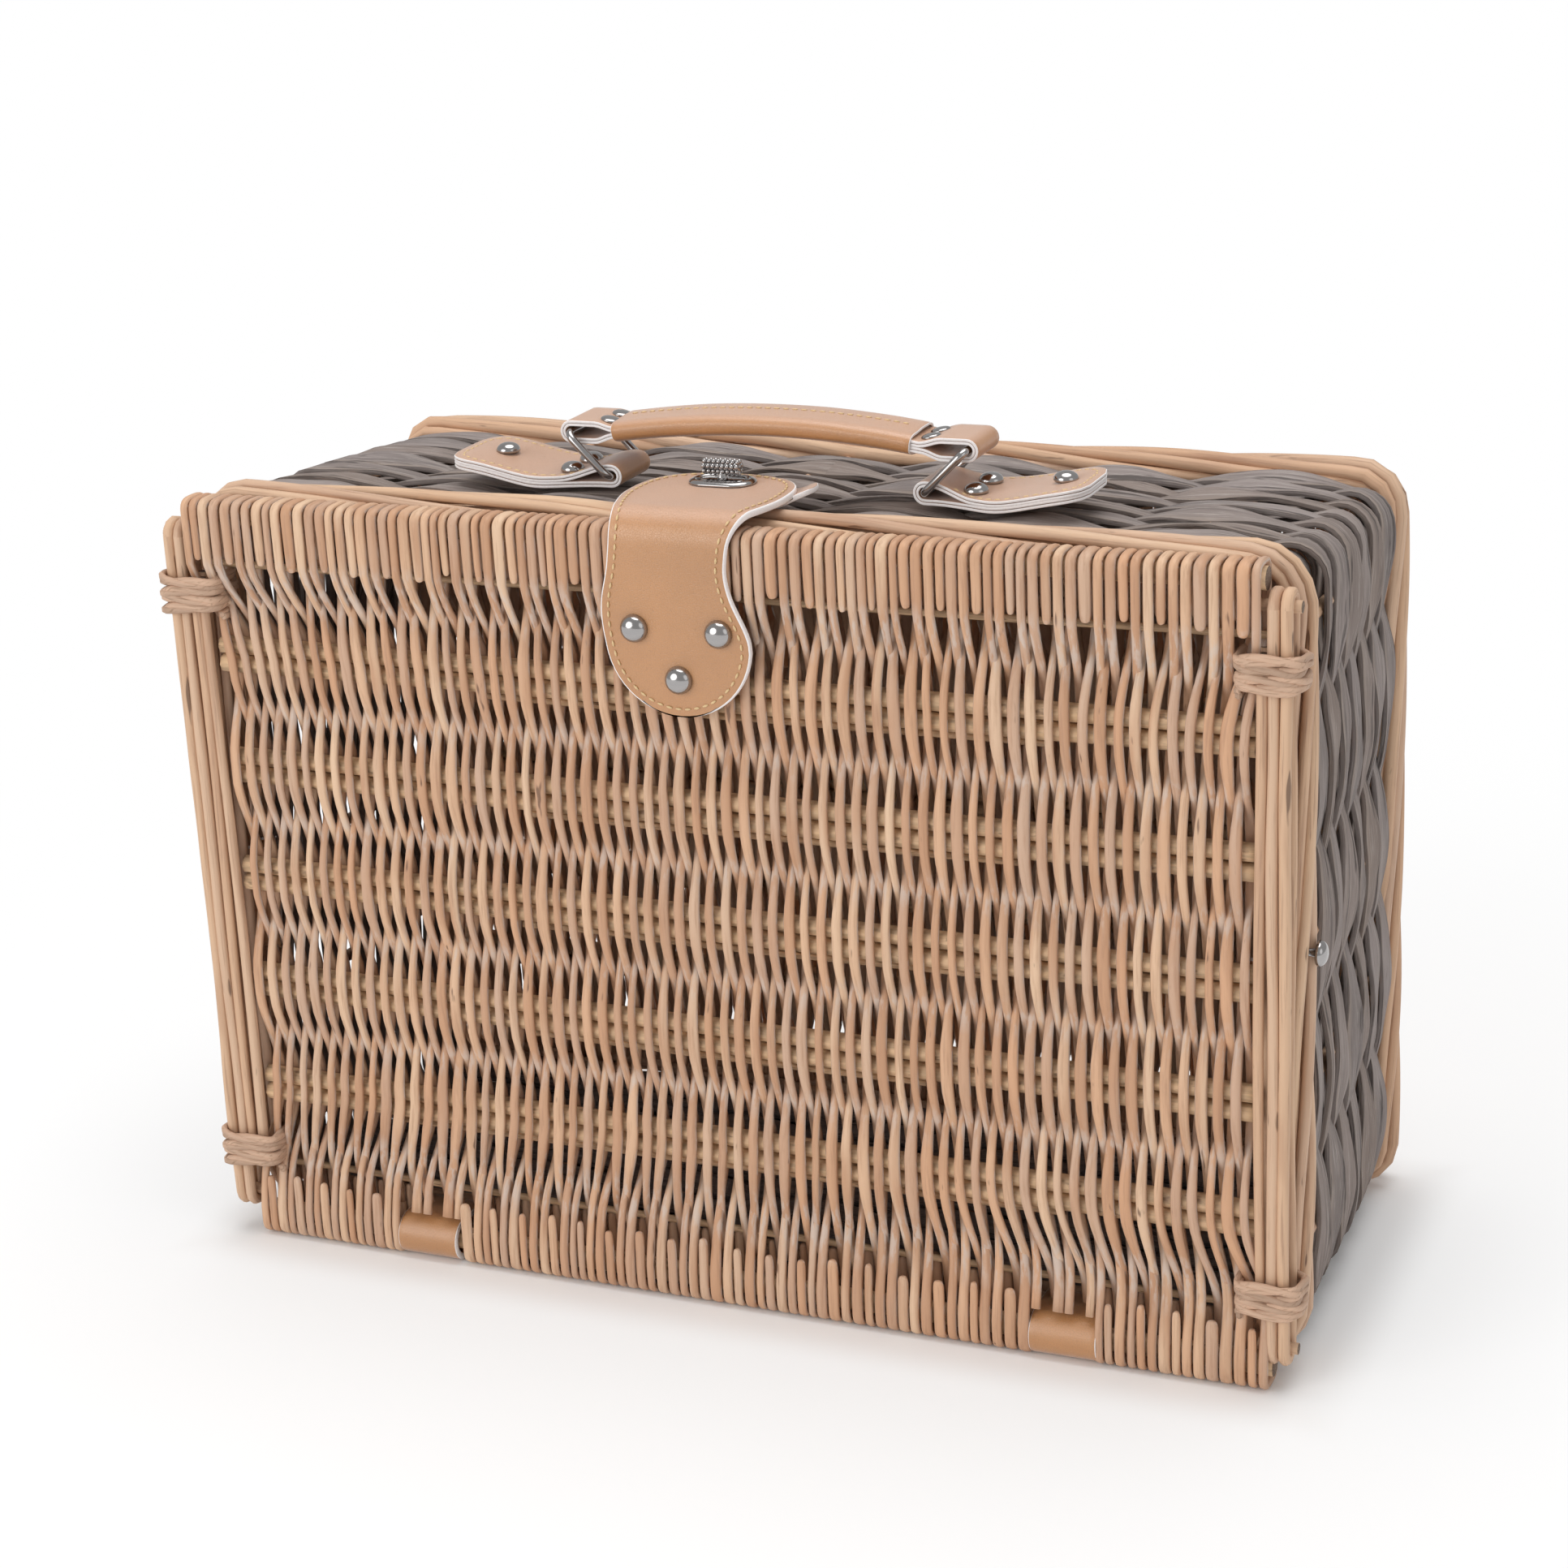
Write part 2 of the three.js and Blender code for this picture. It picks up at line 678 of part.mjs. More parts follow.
function baseWeave() {
  const { half, low, high, inset } = baseLimits();
  const pairs = pairCentres((low + high) / 2);
  const edge = pairs[0].z - pairPitch;
  const over = pairs[pairCount - 1].z + pairPitch;
  const centres = [{ z: edge, half: weaverThickness }, ...pairs, { z: over, half: weaverThickness }];
  const section = new THREE.Shape();
  section.moveTo(borderMiddle - weaverThickness, low);
  panelSide(section, centres, borderMiddle, low, high, -1);
  panelSide(section, centres, borderMiddle, high, low, 1);
  const radius = wallCornerRadius - inset;
  const outline = roundedBox(half, low, high, radius);
  const depth = 2 * crest;
  const panel = prismX(section, -half, half);
  return woven(panel, half, baseWeaverPitch, pairs, borderMiddle, 1)
    .intersect(prismY(outline, borderMiddle - depth, borderMiddle + depth));
}

function baseStickPair(z) {
  const { half } = baseLimits();
  return prismX(tallOval(stickDiameter + 2 * stickStep, stickDiameter, borderMiddle, z), -half, half);
}

// Closure strap over the lid's top edge, and the tongue that lifts

function closureStrap() {
  const tip = lidTopAxis - strapDrop;
  const profile = new THREE.Shape();
  profile.moveTo(strapFront, tip);
  profile.lineTo(strapFront, lidTopAxis);
  profile.absarc(lidMiddle, lidTopAxis, strapOuter, Math.PI, Math.PI / 2, true);
  profile.lineTo(lidMiddle, lidTopAxis + strapInner);
  profile.absarc(lidMiddle, lidTopAxis, strapInner, Math.PI / 2, Math.PI, false);
  profile.lineTo(lidMiddle - strapInner, tip);
  profile.closePath();
  const outline = strapEnd(strapMiddle, tongueTop + strapThickness, tip, strapLobe);
  let strap = prismX(profile, strapMiddle - strapLobe, strapMiddle + strapLobe)
    .intersect(prismY(outline, 2 * strapFront, lidMiddle + strapOuter, 6));
  for (const [x, z] of strapRivets()) {
    const hole = shankHole(4 * strapThickness).translate(x, strapFront, z);
    strap = strap.subtract(solid(hole));
  }
  return strap;
}

function strapRivets() {
  const upper = lidTopAxis - strapRivetDrop;
  const half = strapRivetSpread / 2;
  return [
    [strapMiddle - half, upper],
    [strapMiddle + half, upper],
    [strapMiddle, upper - strapRivetStep],
  ];
}

function strapTongue() {
  const outline = strapEnd(strapMiddle, tongueStart, tongueStart + tongueLength, tongueLobe);
  const slot = 2 * (eyeletSleeve + clearance);
  outline.holes.push(oval(eyeletLength - 2 * eyeletRim + slot, eyeletWidth - 2 * eyeletRim + slot,
    strapMiddle, lockDepth, true));
  return prismZ(outline, tongueLow, tongueTop, 6);
}

function eyelet() {
  const length = eyeletLength - 2 * eyeletRim;
  const width = eyeletWidth - 2 * eyeletRim;
  const flange = oval(eyeletLength, eyeletWidth, strapMiddle, lockDepth);
  flange.holes.push(oval(length, width, strapMiddle, lockDepth, true));
  const wall = 2 * eyeletSleeve;
  const sleeve = oval(length + wall, width + wall, strapMiddle, lockDepth);
  sleeve.holes.push(oval(length, width, strapMiddle, lockDepth, true));
  const seat = tongueTop + clearance;
  return prismZ(flange, seat, seat + eyeletFlange)
    .add(prismZ(sleeve, tongueLow, seat + eyeletFlange / 2));
}

// Turn-lock on the top wall

function wallTop(y) {
  return wallSize(y).high + chipSwing + chipThickness / 2;
}

const patchLow = wallTop(bandFront) + clearance;
const plateLow = patchLow + patchThickness + clearance;
const eyeletTop = tongueTop + clearance + eyeletFlange;
const knobAxis = eyeletTop + knobHeight;

function lockPlate() {
  const length = eyeletLength - 2 * eyeletRim - 2 * lockBossGap;
  const width = eyeletWidth - 2 * eyeletRim - 2 * lockBossGap;
  const flange = oval(eyeletLength, eyeletWidth, strapMiddle, lockDepth);
  const boss = oval(length, width, strapMiddle, lockDepth);
  const seat = roundBar(knobPostDiameter / 2 + clearance, 2 * knobPostSeat)
    .rotateX(Math.PI / 2).translate(strapMiddle, lockDepth, eyeletTop);
  return prismZ(flange, plateLow, plateLow + plateFlange)
    .add(prismZ(boss, plateLow, eyeletTop))
    .subtract(solid(seat));
}

function turnKnob() {
  const radius = knobDiameter / 2;
  const half = knobLength / 2;
  const waist = radius - knobGroove;
  const end = half - knobGroove;
  const profile = [
    [0, -half], [waist, -half], [radius, -end], [radius, -knobGroove],
    [waist, 0], [radius, knobGroove], [radius, end], [waist, half], [0, half],
  ].map(([r, h]) => new THREE.Vector2(r, h));
  const barrel = new THREE.LatheGeometry(profile, 12).rotateZ(-Math.PI / 2)
    .translate(strapMiddle, lockDepth, knobAxis);
  const foot = eyeletTop - knobPostSeat + clearance;
  const post = roundBar(knobPostDiameter / 2, knobAxis - foot).rotateX(Math.PI / 2)
    .translate(strapMiddle, lockDepth, (knobAxis + foot) / 2);
  return solid(barrel).add(solid(post));
}

// Handle, its rings and the tabs that hold them

const tabLow = wallTop(handleDepth - tabEndWidth / 2) + clearance;
const ringAxis = tabLow + tabLoopRadius;
const ringPivot = ringSpacing / 2;
const ringTop = ringAxis + ringReach * Math.sin(ringLean);
const ringOut = ringPivot + ringReach * Math.cos(ringLean);

function handleTab() {
  const loop = handleMiddle + ringPivot;
  const end = loop + tabLength;
  const profile = new THREE.Shape();
  profile.moveTo(end, tabLow);
  profile.lineTo(loop, tabLow);
  profile.absarc(loop, ringAxis, tabLoopRadius, -Math.PI / 2, -3 * Math.PI / 2, true);
  profile.lineTo(loop + tabLoopRadius + tabLayer, tabLow + tabLayer);
  profile.lineTo(end, tabLow + tabLayer);
  profile.closePath();
  profile.holes.push(roundHole(ringWire / 2 + ringPlay, loop, ringAxis));
  const plan = new THREE.Shape();
  const wide = tabEndWidth / 2;
  const slim = tabLoopWidth / 2;
  const back = loop - 2 * tabLoopRadius;
  plan.moveTo(back, handleDepth - slim);
  plan.lineTo(loop + tabLoopRadius, handleDepth - slim);
  plan.bezierCurveTo(loop + tabTaper / 2, handleDepth - slim,
    loop + tabTaper / 2, handleDepth - wide, loop + tabTaper, handleDepth - wide);
  plan.absarc(end - tabEndRadius, handleDepth - wide + tabEndRadius, tabEndRadius, -Math.PI / 2, 0);
  plan.absarc(end - tabEndRadius, handleDepth + wide - tabEndRadius, tabEndRadius, 0, Math.PI / 2);
  plan.lineTo(loop + tabTaper, handleDepth + wide);
  plan.bezierCurveTo(loop + tabTaper / 2, handleDepth + wide,
    loop + tabTaper / 2, handleDepth + slim, loop + tabLoopRadius, handleDepth + slim);
  plan.lineTo(back, handleDepth + slim);
  plan.closePath();
  let tab = prismY(profile, handleDepth - wide, handleDepth + wide)
    .intersect(prismZ(plan, 0, 2 * lidTopAxis));
  for (const [x, y] of tabRivets()) {
    tab = tab.subtract(solid(shankHole(4 * tabLayer).rotateX(Math.PI / 2).translate(x, y, tabLow)));
  }
  return tab;
}

function tabRivets() {
  const loop = handleMiddle + ringPivot;
  return [
    [loop + tabRivetOuter, handleDepth],
    [loop + tabRivetInner, handleDepth - tabRivetSpread / 2],
    [loop + tabRivetInner, handleDepth + tabRivetSpread / 2],
  ];
}

// Wire ring leaning outward from the right tab
function wireRing() {
  const path = roundedBox(ringWidth / 2, 0, ringReach, ringBend, new THREE.Path());
  const lean = new THREE.Vector3(Math.cos(ringLean), 0, Math.sin(ringLean));
  const facing = new THREE.Vector3(-Math.sin(ringLean), 0, Math.cos(ringLean));
  const pivot = new THREE.Vector3(handleMiddle + ringPivot, handleDepth, ringAxis);
  const sides = 6;
  const rings = cornerTurns(path, 3).map((t) => {
    const { point, normal } = pathFrame(path, t);
    return Array.from({ length: sides }, (_, i) => {
      const turn = (i / sides) * 2 * Math.PI;
      const out = (ringWire / 2) * Math.cos(turn);
      return pivot.clone()
        .addScaledVector(axisY, point.x + normal.x * out)
        .addScaledVector(lean, point.y + normal.y * out)
        .addScaledVector(facing, (ringWire / 2) * Math.sin(turn));
    });
  });
  return loft(rings, true);
}

// Arc that the handle follows: its radius and the height of its centre
function handleArc() {
  const radius = (ringPivot * ringPivot + handleRise * handleRise) / (2 * handleRise);
  return { radius, centre: ringTop + handleRise - radius };
}

function archStrip(half, thickness) {
  const { radius, centre } = handleArc();
  const swing = Math.asin(half / radius);
  const outer = radius + thickness / 2;
  const inner = radius - thickness / 2;
  const strip = new THREE.Shape();
  strip.absarc(handleMiddle, centre, outer, Math.PI / 2 + swing, Math.PI / 2 - swing, true);
  strip.absarc(handleMiddle, centre, inner, Math.PI / 2 - swing, Math.PI / 2 + swing, false);
  strip.closePath();
  return strip;
}

function handleStrap() {
  const half = handleWidth / 2;
  const from = handleDepth - half;
  const to = handleDepth + half;
  const slotHeight = ringWire + 2 * ringPlay;
  const slotEnd = ringOut + ringWire / 2 + ringPlay;
  const loopMiddle = slotEnd - handleSlot / 2;
  let strap = prismY(archStrip(loopMiddle - handleSlot / 2, 2 * handleLeather), from, to, 5);
  for (const side of [-1, 1]) {
    const x = handleMiddle + side * loopMiddle;
    const loop = oval(handleSlot + 2 * handleLeather, slotHeight + 2 * handleLeather, x, ringTop);
    const slot = oval(handleSlot, slotHeight, x, ringTop);
    strap = strap.add(prismY(loop, from, to)).subtract(prismY(slot, from - clearance, to + clearance));
  }
  return strap;
}

// Flattened sleeve along the arch, with a slot for the strap inside it
function handleGrip() {
  const { radius, centre } = handleArc();
  const swing = Math.asin(gripLength / 2 / radius);
  const section = oval(gripWidth, gripThickness, handleDepth, 0).getPoints(3).slice(0, -1);
  const steps = 8;
  const rings = Array.from({ length: steps + 1 }, (_, i) => {
    const turn = swing * (2 * (i / steps) - 1);
    return section.map((p) => new THREE.Vector3(
      handleMiddle + (radius + p.y) * Math.sin(turn),
      p.x,
      centre + (radius + p.y) * Math.cos(turn),
    ));
  });
  const reach = handleWidth / 2 + clearance;
  const slot = archStrip(gripLength, 2 * handleLeather + 2 * clearance);
  return loft(rings, false)
    .subtract(prismY(slot, handleDepth - reach, handleDepth + reach, 8));
}

// Lid stay at the right: riveted to the rim, folded down, and fixed to the back of the lid
function lidStay() {
  const rimInner = rimHalfWidth + rimRodProud - rimRodRadius;
  const outer = rimInner - clearance;
  const inner = outer - stayWidth;
  const near = lidMiddle + crest + clearance;
  const far = rimDepth - stayTab / 2 + stayThickness;
  const low = stayHeight - stayFold;
  const fold = new THREE.Shape();
  fold.moveTo(near, stayHeight);
  fold.lineTo(near, low);
  fold.lineTo(far, low);
  fold.lineTo(far, stayHeight);
  fold.lineTo(far - stayThickness, stayHeight);
  fold.lineTo(far - stayThickness, low + stayThickness);
  fold.lineTo(near + stayThickness, low + stayThickness);
  fold.lineTo(near + stayThickness, stayHeight);
  fold.closePath();
  const tab = block(
    [outer - stayThickness, far - stayThickness, stayHeight - stayTab / 2],
    [outer, far - stayThickness + stayTab, stayHeight + stayTab / 2],
  );
  const hole = shankHole(4 * stayThickness).rotateZ(Math.PI / 2)
    .translate(outer, rimDepth, stayHeight);
  return prismX(fold, inner, outer).add(tab).subtract(solid(hole));
}

function stayRivet() {
  const outside = rimHalfWidth + rimRodProud + rimRodRadius + clearance;
  const inside = rimHalfWidth + rimRodProud - rimRodRadius - clearance - stayThickness - clearance;
  return solid(rivet(smallRivetDiameter, smallRivetHeight, outside - inside, true)
    .rotateZ(-Math.PI / 2).translate(outside, rimDepth, stayHeight));
}

// Assembly

place('lid_weave', lidWeave(), willow);
pairCentres(pairMiddle).forEach(({ z }, i) => {
  const number = pairCount - i;
  place(`lid_stick_${number}a`, stick(stickRadius, lidWeaveHalf, lidMiddle, z + stickStep, 10), willowDark);
  place(`lid_stick_${number}b`, stick(stickRadius, lidWeaveHalf, lidMiddle, z - stickStep, 10), willowDark);
});
const endStickHalf = lidHalf - endStickInset;
place('lid_end_stick_top', stick(endStickRadius, endStickHalf, lidMiddle, lidTopAxis, 16), willowDark);
place('lid_end_stick_bottom', stick(endStickRadius, endStickHalf, lidMiddle, lidAxis, 16), willowDark);

const sideRods = prismZ(
  oval(sideRodWidth, 2 * crest, lidHalf - sideRodWidth / 2, lidMiddle),
  lidAxis + sideRodInset,
  lidTopAxis - sideRodInset,
);
place('lid_side_rods_right', sideRods, willow);
place('lid_side_rods_left', mirrored(sideRods), willow);
lashingHeights().forEach((z, i) => {
  const level = ['bottom', 'top'][i];
  place(`lashing_${level}_right`, lashing(z), paperCord);
  place(`lashing_${level}_left`, mirrored(lashing(z)), paperCord);
});

place('closure_strap', closureStrap(), leather);
strapRivets().forEach(([x, z], i) => {
  const dome = rivet(strapRivetDiameter, strapRivetHeight, strapThickness).rotateX(Math.PI)
    .translate(x, strapFront - clearance, z);
  place(`strap_rivet_${['left', 'right', 'low'][i]}`, solid(dome), steel);
});
place('strap_tongue', strapTongue(), leather);
place('eyelet', eyelet(), steel);

place('rim_border', rimBorder(), willow);
place('stake_frame', stakeFrame(), willow);
for (let i = 0; i < bandCount; i += 1) place(`wall_band_${i + 1}`, chipBand(i), chipWood);
place('base_border', baseBorder(), willow);
place('base_weave', baseWeave(), willow);
const baseMiddle = (baseLimits().low + baseLimits().high) / 2;
pairCentres(baseMiddle).forEach(({ z }, i) => {
  place(`base_stick_pair_${pairCount - i}`, baseStickPair(z), willowDark);
});

place('hinge_strap_left', hingeStrap(-1), leather);
place('hinge_strap_right', hingeStrap(1), leather);
place('lid_stay_right', lidStay(), leather);
place('lid_stay_left', mirrored(lidStay()), leather);
place('stay_rivet_right', stayRivet(), steel);
place('stay_rivet_left', mirrored(stayRivet()), steel);

const patch = prismZ(oval(patchLength, patchWidth, strapMiddle, lockDepth + patchBehind), patchLow,
  patchLow + patchThickness);
place('lock_patch', patch, leather);
place('lock_plate', lockPlate(), steel);
place('turn_knob', turnKnob(), steel);

place('handle_tab_right', handleTab(), leather);
place('handle_tab_left', mirrored(handleTab(), handleMiddle), leather);
tabRivets().forEach(([x, y], i) => {
  const spot = ['outer', 'front', 'back'][i];
  const dome = solid(rivet(smallRivetDiameter, smallRivetHeight, tabLayer).rotateX(Math.PI / 2)
    .translate(x, y, tabLow + tabLayer + clearance));
  place(`tab_rivet_${spot}_right`, dome, steel);
  place(`tab_rivet_${spot}_left`, mirrored(dome, handleMiddle), steel);
});
place('ring_right', wireRing(), steel);
place('ring_left', mirrored(wireRing(), handleMiddle), steel);
place('handle_strap', handleStrap(), leather);
place('handle_grip', handleGrip(), leather);

export default hamper;
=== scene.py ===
"""Willow picnic hamper, dressed over its packed parts.

Pieces are modelled in millimetres: x to the right, y back from the front of the lid, z up from the
floor. Each is finished in metres, in the frame of the packed parts.
"""

import math
import random

import bmesh
import bpy
from bpy.props import FloatProperty, FloatVectorProperty, IntProperty, PointerProperty
from bpy.types import Operator, Panel, PropertyGroup
from mathutils import Matrix, Vector, noise
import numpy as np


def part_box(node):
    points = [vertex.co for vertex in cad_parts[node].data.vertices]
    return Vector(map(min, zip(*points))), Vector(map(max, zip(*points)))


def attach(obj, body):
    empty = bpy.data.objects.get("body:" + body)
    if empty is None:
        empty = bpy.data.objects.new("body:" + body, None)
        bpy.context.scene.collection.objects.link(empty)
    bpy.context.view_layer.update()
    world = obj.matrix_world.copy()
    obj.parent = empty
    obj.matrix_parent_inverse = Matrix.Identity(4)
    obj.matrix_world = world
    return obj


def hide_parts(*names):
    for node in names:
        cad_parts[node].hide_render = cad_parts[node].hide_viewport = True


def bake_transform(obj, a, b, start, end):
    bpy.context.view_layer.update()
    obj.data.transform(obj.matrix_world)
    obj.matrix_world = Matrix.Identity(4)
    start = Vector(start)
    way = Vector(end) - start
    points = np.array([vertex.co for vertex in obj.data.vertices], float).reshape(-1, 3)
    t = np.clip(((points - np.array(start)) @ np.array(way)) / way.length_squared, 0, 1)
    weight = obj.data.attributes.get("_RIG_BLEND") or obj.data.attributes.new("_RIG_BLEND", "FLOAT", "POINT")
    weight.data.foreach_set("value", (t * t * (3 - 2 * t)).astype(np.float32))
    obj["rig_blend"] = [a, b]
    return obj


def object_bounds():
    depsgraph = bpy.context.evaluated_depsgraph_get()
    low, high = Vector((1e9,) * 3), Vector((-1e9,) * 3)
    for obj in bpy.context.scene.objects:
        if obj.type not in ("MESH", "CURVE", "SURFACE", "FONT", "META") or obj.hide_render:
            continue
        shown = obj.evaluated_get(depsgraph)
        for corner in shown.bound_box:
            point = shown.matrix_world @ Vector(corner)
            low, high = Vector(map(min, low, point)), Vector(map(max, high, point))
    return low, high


bl_info = {
    "name": "Picnic Hamper",
    "version": (1, 0, 0),
    "blender": (4, 5, 0),
    "location": "3D View > Sidebar > Hamper",
    "description": "Builds a willow picnic hamper over its packed parts",
    "category": "Object",
}

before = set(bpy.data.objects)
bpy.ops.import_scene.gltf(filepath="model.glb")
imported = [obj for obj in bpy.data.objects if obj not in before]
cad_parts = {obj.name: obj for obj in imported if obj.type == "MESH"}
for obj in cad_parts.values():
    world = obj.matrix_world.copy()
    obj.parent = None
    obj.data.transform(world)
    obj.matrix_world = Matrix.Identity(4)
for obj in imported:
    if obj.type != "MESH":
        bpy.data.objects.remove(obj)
PACKED_BOX = [list(corner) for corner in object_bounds()]
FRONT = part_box("lid_weave")[0].y
X, Y, Z = Vector((1, 0, 0)), Vector((0, 1, 0)), Vector((0, 0, 1))


def span(node):
    """Lowest and highest corner of a packed part, in millimetres from the front of the lid."""
    return [(corner - Y * FRONT) * 1000 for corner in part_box(node)]


def middle(node):
    """Centre of a packed part's box, in millimetres."""
    low, high = span(node)
    return (low + high) / 2


LID_MIDDLE = middle("lid_end_stick_top").y
TOP_AXIS = middle("lid_end_stick_top").z
LOW_AXIS = middle("lid_end_stick_bottom").z
LID_HALF = span("lid_weave")[1].x
EDGE_HALF = span("lid_end_stick_top")[1].x - 0.4
PAIRS = [(middle(f"lid_stick_{n}a").z + middle(f"lid_stick_{n}b").z) / 2 for n in range(5, 0, -1)]
HINGE_OFFSET = middle("hinge_strap_right").x
STRAP_MIDDLE = middle("strap_tongue").x
LOCK = middle("eyelet")
HANDLE = middle("handle_grip")
LID_TOP = TOP_AXIS - 1.5
# Middle of the right ring's lower bar, and how far the leather tab of each side reaches past it.
RING_PIVOT = Vector((66.0, HANDLE.y, 307.07))
TAB_REACH = {1: 61.0, -1: 66.0}
# Half the distance between the two sticks of a pair.
PAIR_HALF = 3.6
SIDES = ((-1, "left"), (1, "right"))


# Settings

def length(name, description, default):
    """A size property. Defaults are written in millimetres."""
    return FloatProperty(name=name, description=description, default=default / 1000, min=0,
                         unit="LENGTH", precision=5)


def colour(name, description, red, green, blue):
    """A colour property, as it looks on the screen."""
    return FloatVectorProperty(name=name, description=description, subtype="COLOR_GAMMA", size=3,
                               min=0, max=1, default=(red / 255, green / 255, blue / 255))


def wattage(name, description, default):
    """A light's power property."""
    return FloatProperty(name=name, description=description, default=default, unit="POWER")


class LidSettings(PropertyGroup):
    """Sizes of the woven lid."""
    weaver_pitch: length("Weaver pitch", "Distance between neighbouring weavers", 3.12)
    weaver_width: length("Weaver width", "Width of a split weaver where it is widest", 3.9)
    weaver_thickness: length("Weaver thickness", "Thickness of a split weaver", 2.3)
    tail: length("Tail", "Length of the tails that come over the end sticks", 18)
    wander: length("Wander", "How far a weaver strays from a straight line", 0.55)
    lean: length("Lean", "Shift of the upper edge to the left", 2.5)
    seed: IntProperty(name="Seed", description="Start of the random widths and tones", default=7)


class WallSettings(PropertyGroup):
    """Sizes of the walls, the rim and the base border."""
    strips: IntProperty(name="Chip strips", description="Strips from the rim to the base", default=13)
    chip_width: length("Chip width", "Width of one chip strip where it bows out", 13.7)
    chip_thickness: length("Chip thickness", "Thickness of one chip strip", 1.9)
    chip_swing: length("Chip swing", "How far a strip bows out and in at the stakes", 3.3)
    chip_corner: length("Chip corner", "Radius of the strips at the corners", 10)
    rim_rod: length("Rim rod radius", "Radius of a rod of the rim", 2.35)
    border_rod: length("Border rod radius", "Radius of a rod of the base border", 2.65)
    seed: IntProperty(name="Seed", description="Start of the random tones and waves", default=11)


class LeatherSettings(PropertyGroup):
    """Sizes of the leather pieces and their stitching."""
    strap_thickness: length("Strap thickness", "Thickness of the closure strap", 2.6)
    sheet: length("Sheet", "Thickness of one sheet of the tabs and the handle", 1.0)
    stitch_pitch: length("Stitch pitch", "Distance between neighbouring stitches", 3.6)
    stitch_length: length("Stitch length", "Length of one stitch", 2.7)
    stitch_width: length("Stitch width", "Thickness of the thread", 1.0)
    stitch_inset: length("Stitch inset", "Distance of the stitches from the edge", 3.2)


class ColourSettings(PropertyGroup):
    """Colours of the finishes."""
    willow_warm: colour("Warm willow", "Orange-tan weavers", 206, 158, 122)
    willow_pale: colour("Pale willow", "Pale weavers", 221, 187, 155)
    willow_grey: colour("Grey willow", "Weathered weavers", 199, 165, 140)
    # Painted light: the sticks' colour is lighter than their own, making up for the shade they sit in inside
    # the lid.
    stick: colour("Sticks", "Round sticks inside the lid", 226, 190, 150)
    chip: colour("Chip wood", "Weathered chip strips", 145, 134, 130)
    leather: colour("Leather", "Grain side of the leather", 189, 134, 84)
    edge: colour("Cut edge", "Cut edges of the leather", 244, 240, 239)
    thread: colour("Thread", "Stitching thread", 232, 200, 150)
    cord: colour("Cord", "Paper cord of the lashings", 199, 165, 140)
    chrome: colour("Chrome", "Plated metal", 170, 167, 166)


class StageSettings(PropertyGroup):
    """Floor, light and camera."""
    floor: colour("Floor", "Colour of the floor", 248, 248, 248)
    key: wattage("Key light", "Power of the large front light", 48)
    fill: wattage("Fill light", "Power of the light at the right", 9)
    top: wattage("Top light", "Power of the overhead light", 46)
    sky: FloatProperty(name="Sky", description="Strength of the even light all round", default=0.5)
    mirror: FloatProperty(name="Mirrored sky", description="Strength of the sky in metal", default=0.5)
    lens: FloatProperty(name="Lens", description="Focal length on a 36 mm sensor", default=74.024)


def mm(value):
    """Metres of a setting in millimetres."""
    return value * 1000


# Numbers

def lerp(start, end, t):
    return start + (end - start) * t


def smooth(t):
    t = min(max(t, 0.0), 1.0)
    return t * t * (3 - 2 * t)


def ripple(*place):
    """Smooth wandering value from about -1 to 1."""
    return noise.noise(Vector(place))


def arc(cx, cz, radius, start, end, steps):
    """Points of a round bend in two directions, between two angles in degrees."""
    turns = [math.radians(lerp(start, end, i / steps)) for i in range(steps + 1)]
    return [(cx + radius * math.cos(a), cz + radius * math.sin(a)) for a in turns]


def evenly(points, step):
    """Points at about equal distances along a line of points."""
    points = [Vector(p) for p in points]
    ends = [0.0]
    for a, b in zip(points, points[1:]):
        ends.append(ends[-1] + (b - a).length)
    count = max(2, round(ends[-1] / step))
    spaced = []
    k = 0
    for i in range(count + 1):
        way = ends[-1] * i / count
        while k < len(points) - 2 and ends[k + 1] < way:
            k += 1
        gap = ends[k + 1] - ends[k]
        spaced.append(points[k].lerp(points[k + 1], (way - ends[k]) / gap if gap else 0))
    return spaced


# Shapes

def new_part():
    part = bmesh.new()
    part.loops.layers.uv.new("UVMap")
    part.verts.layers.float.new("tone")
    part.verts.layers.float.new("wear")
    return part


def sheet_of(rows, columns, corner, along=1.0, across=1.0, wears=None):
    """Sheet of quads: corner(i, j) places the corner in row i and column j. Wears go by row."""
    part = new_part()
    bmesh.ops.create_grid(part, x_segments=rows, y_segments=columns, size=0.5, calc_uvs=True)
    wear = part.verts.layers.float["wear"]
    for v in part.verts:
        row = round((v.co.x + 0.5) * rows)
        v.co = corner(row, round((v.co.y + 0.5) * columns))
        v[wear] = wears[row] if wears else 0.0
    uv = part.loops.layers.uv.verify()
    for face in part.faces:
        for loop in face.loops:
            loop[uv].uv.x *= along
            loop[uv].uv.y *= across
    return part


def close(part, cap=0):
    """Merges the seams, caps open ends with the finish of that number and turns faces outwards."""
    bmesh.ops.remove_doubles(part, verts=part.verts, dist=1e-4)
    open_edges = [e for e in part.edges if e.is_boundary]
    if open_edges:
        for face in bmesh.ops.holes_fill(part, edges=open_edges, sides=0)["faces"]:
            face.material_index = cap
    bmesh.ops.recalc_face_normals(part, faces=part.faces)
    return part


def squared(value, power):
    """Sine or cosine drawn out towards the corners of a square."""
    return math.copysign(abs(value) ** power, value)


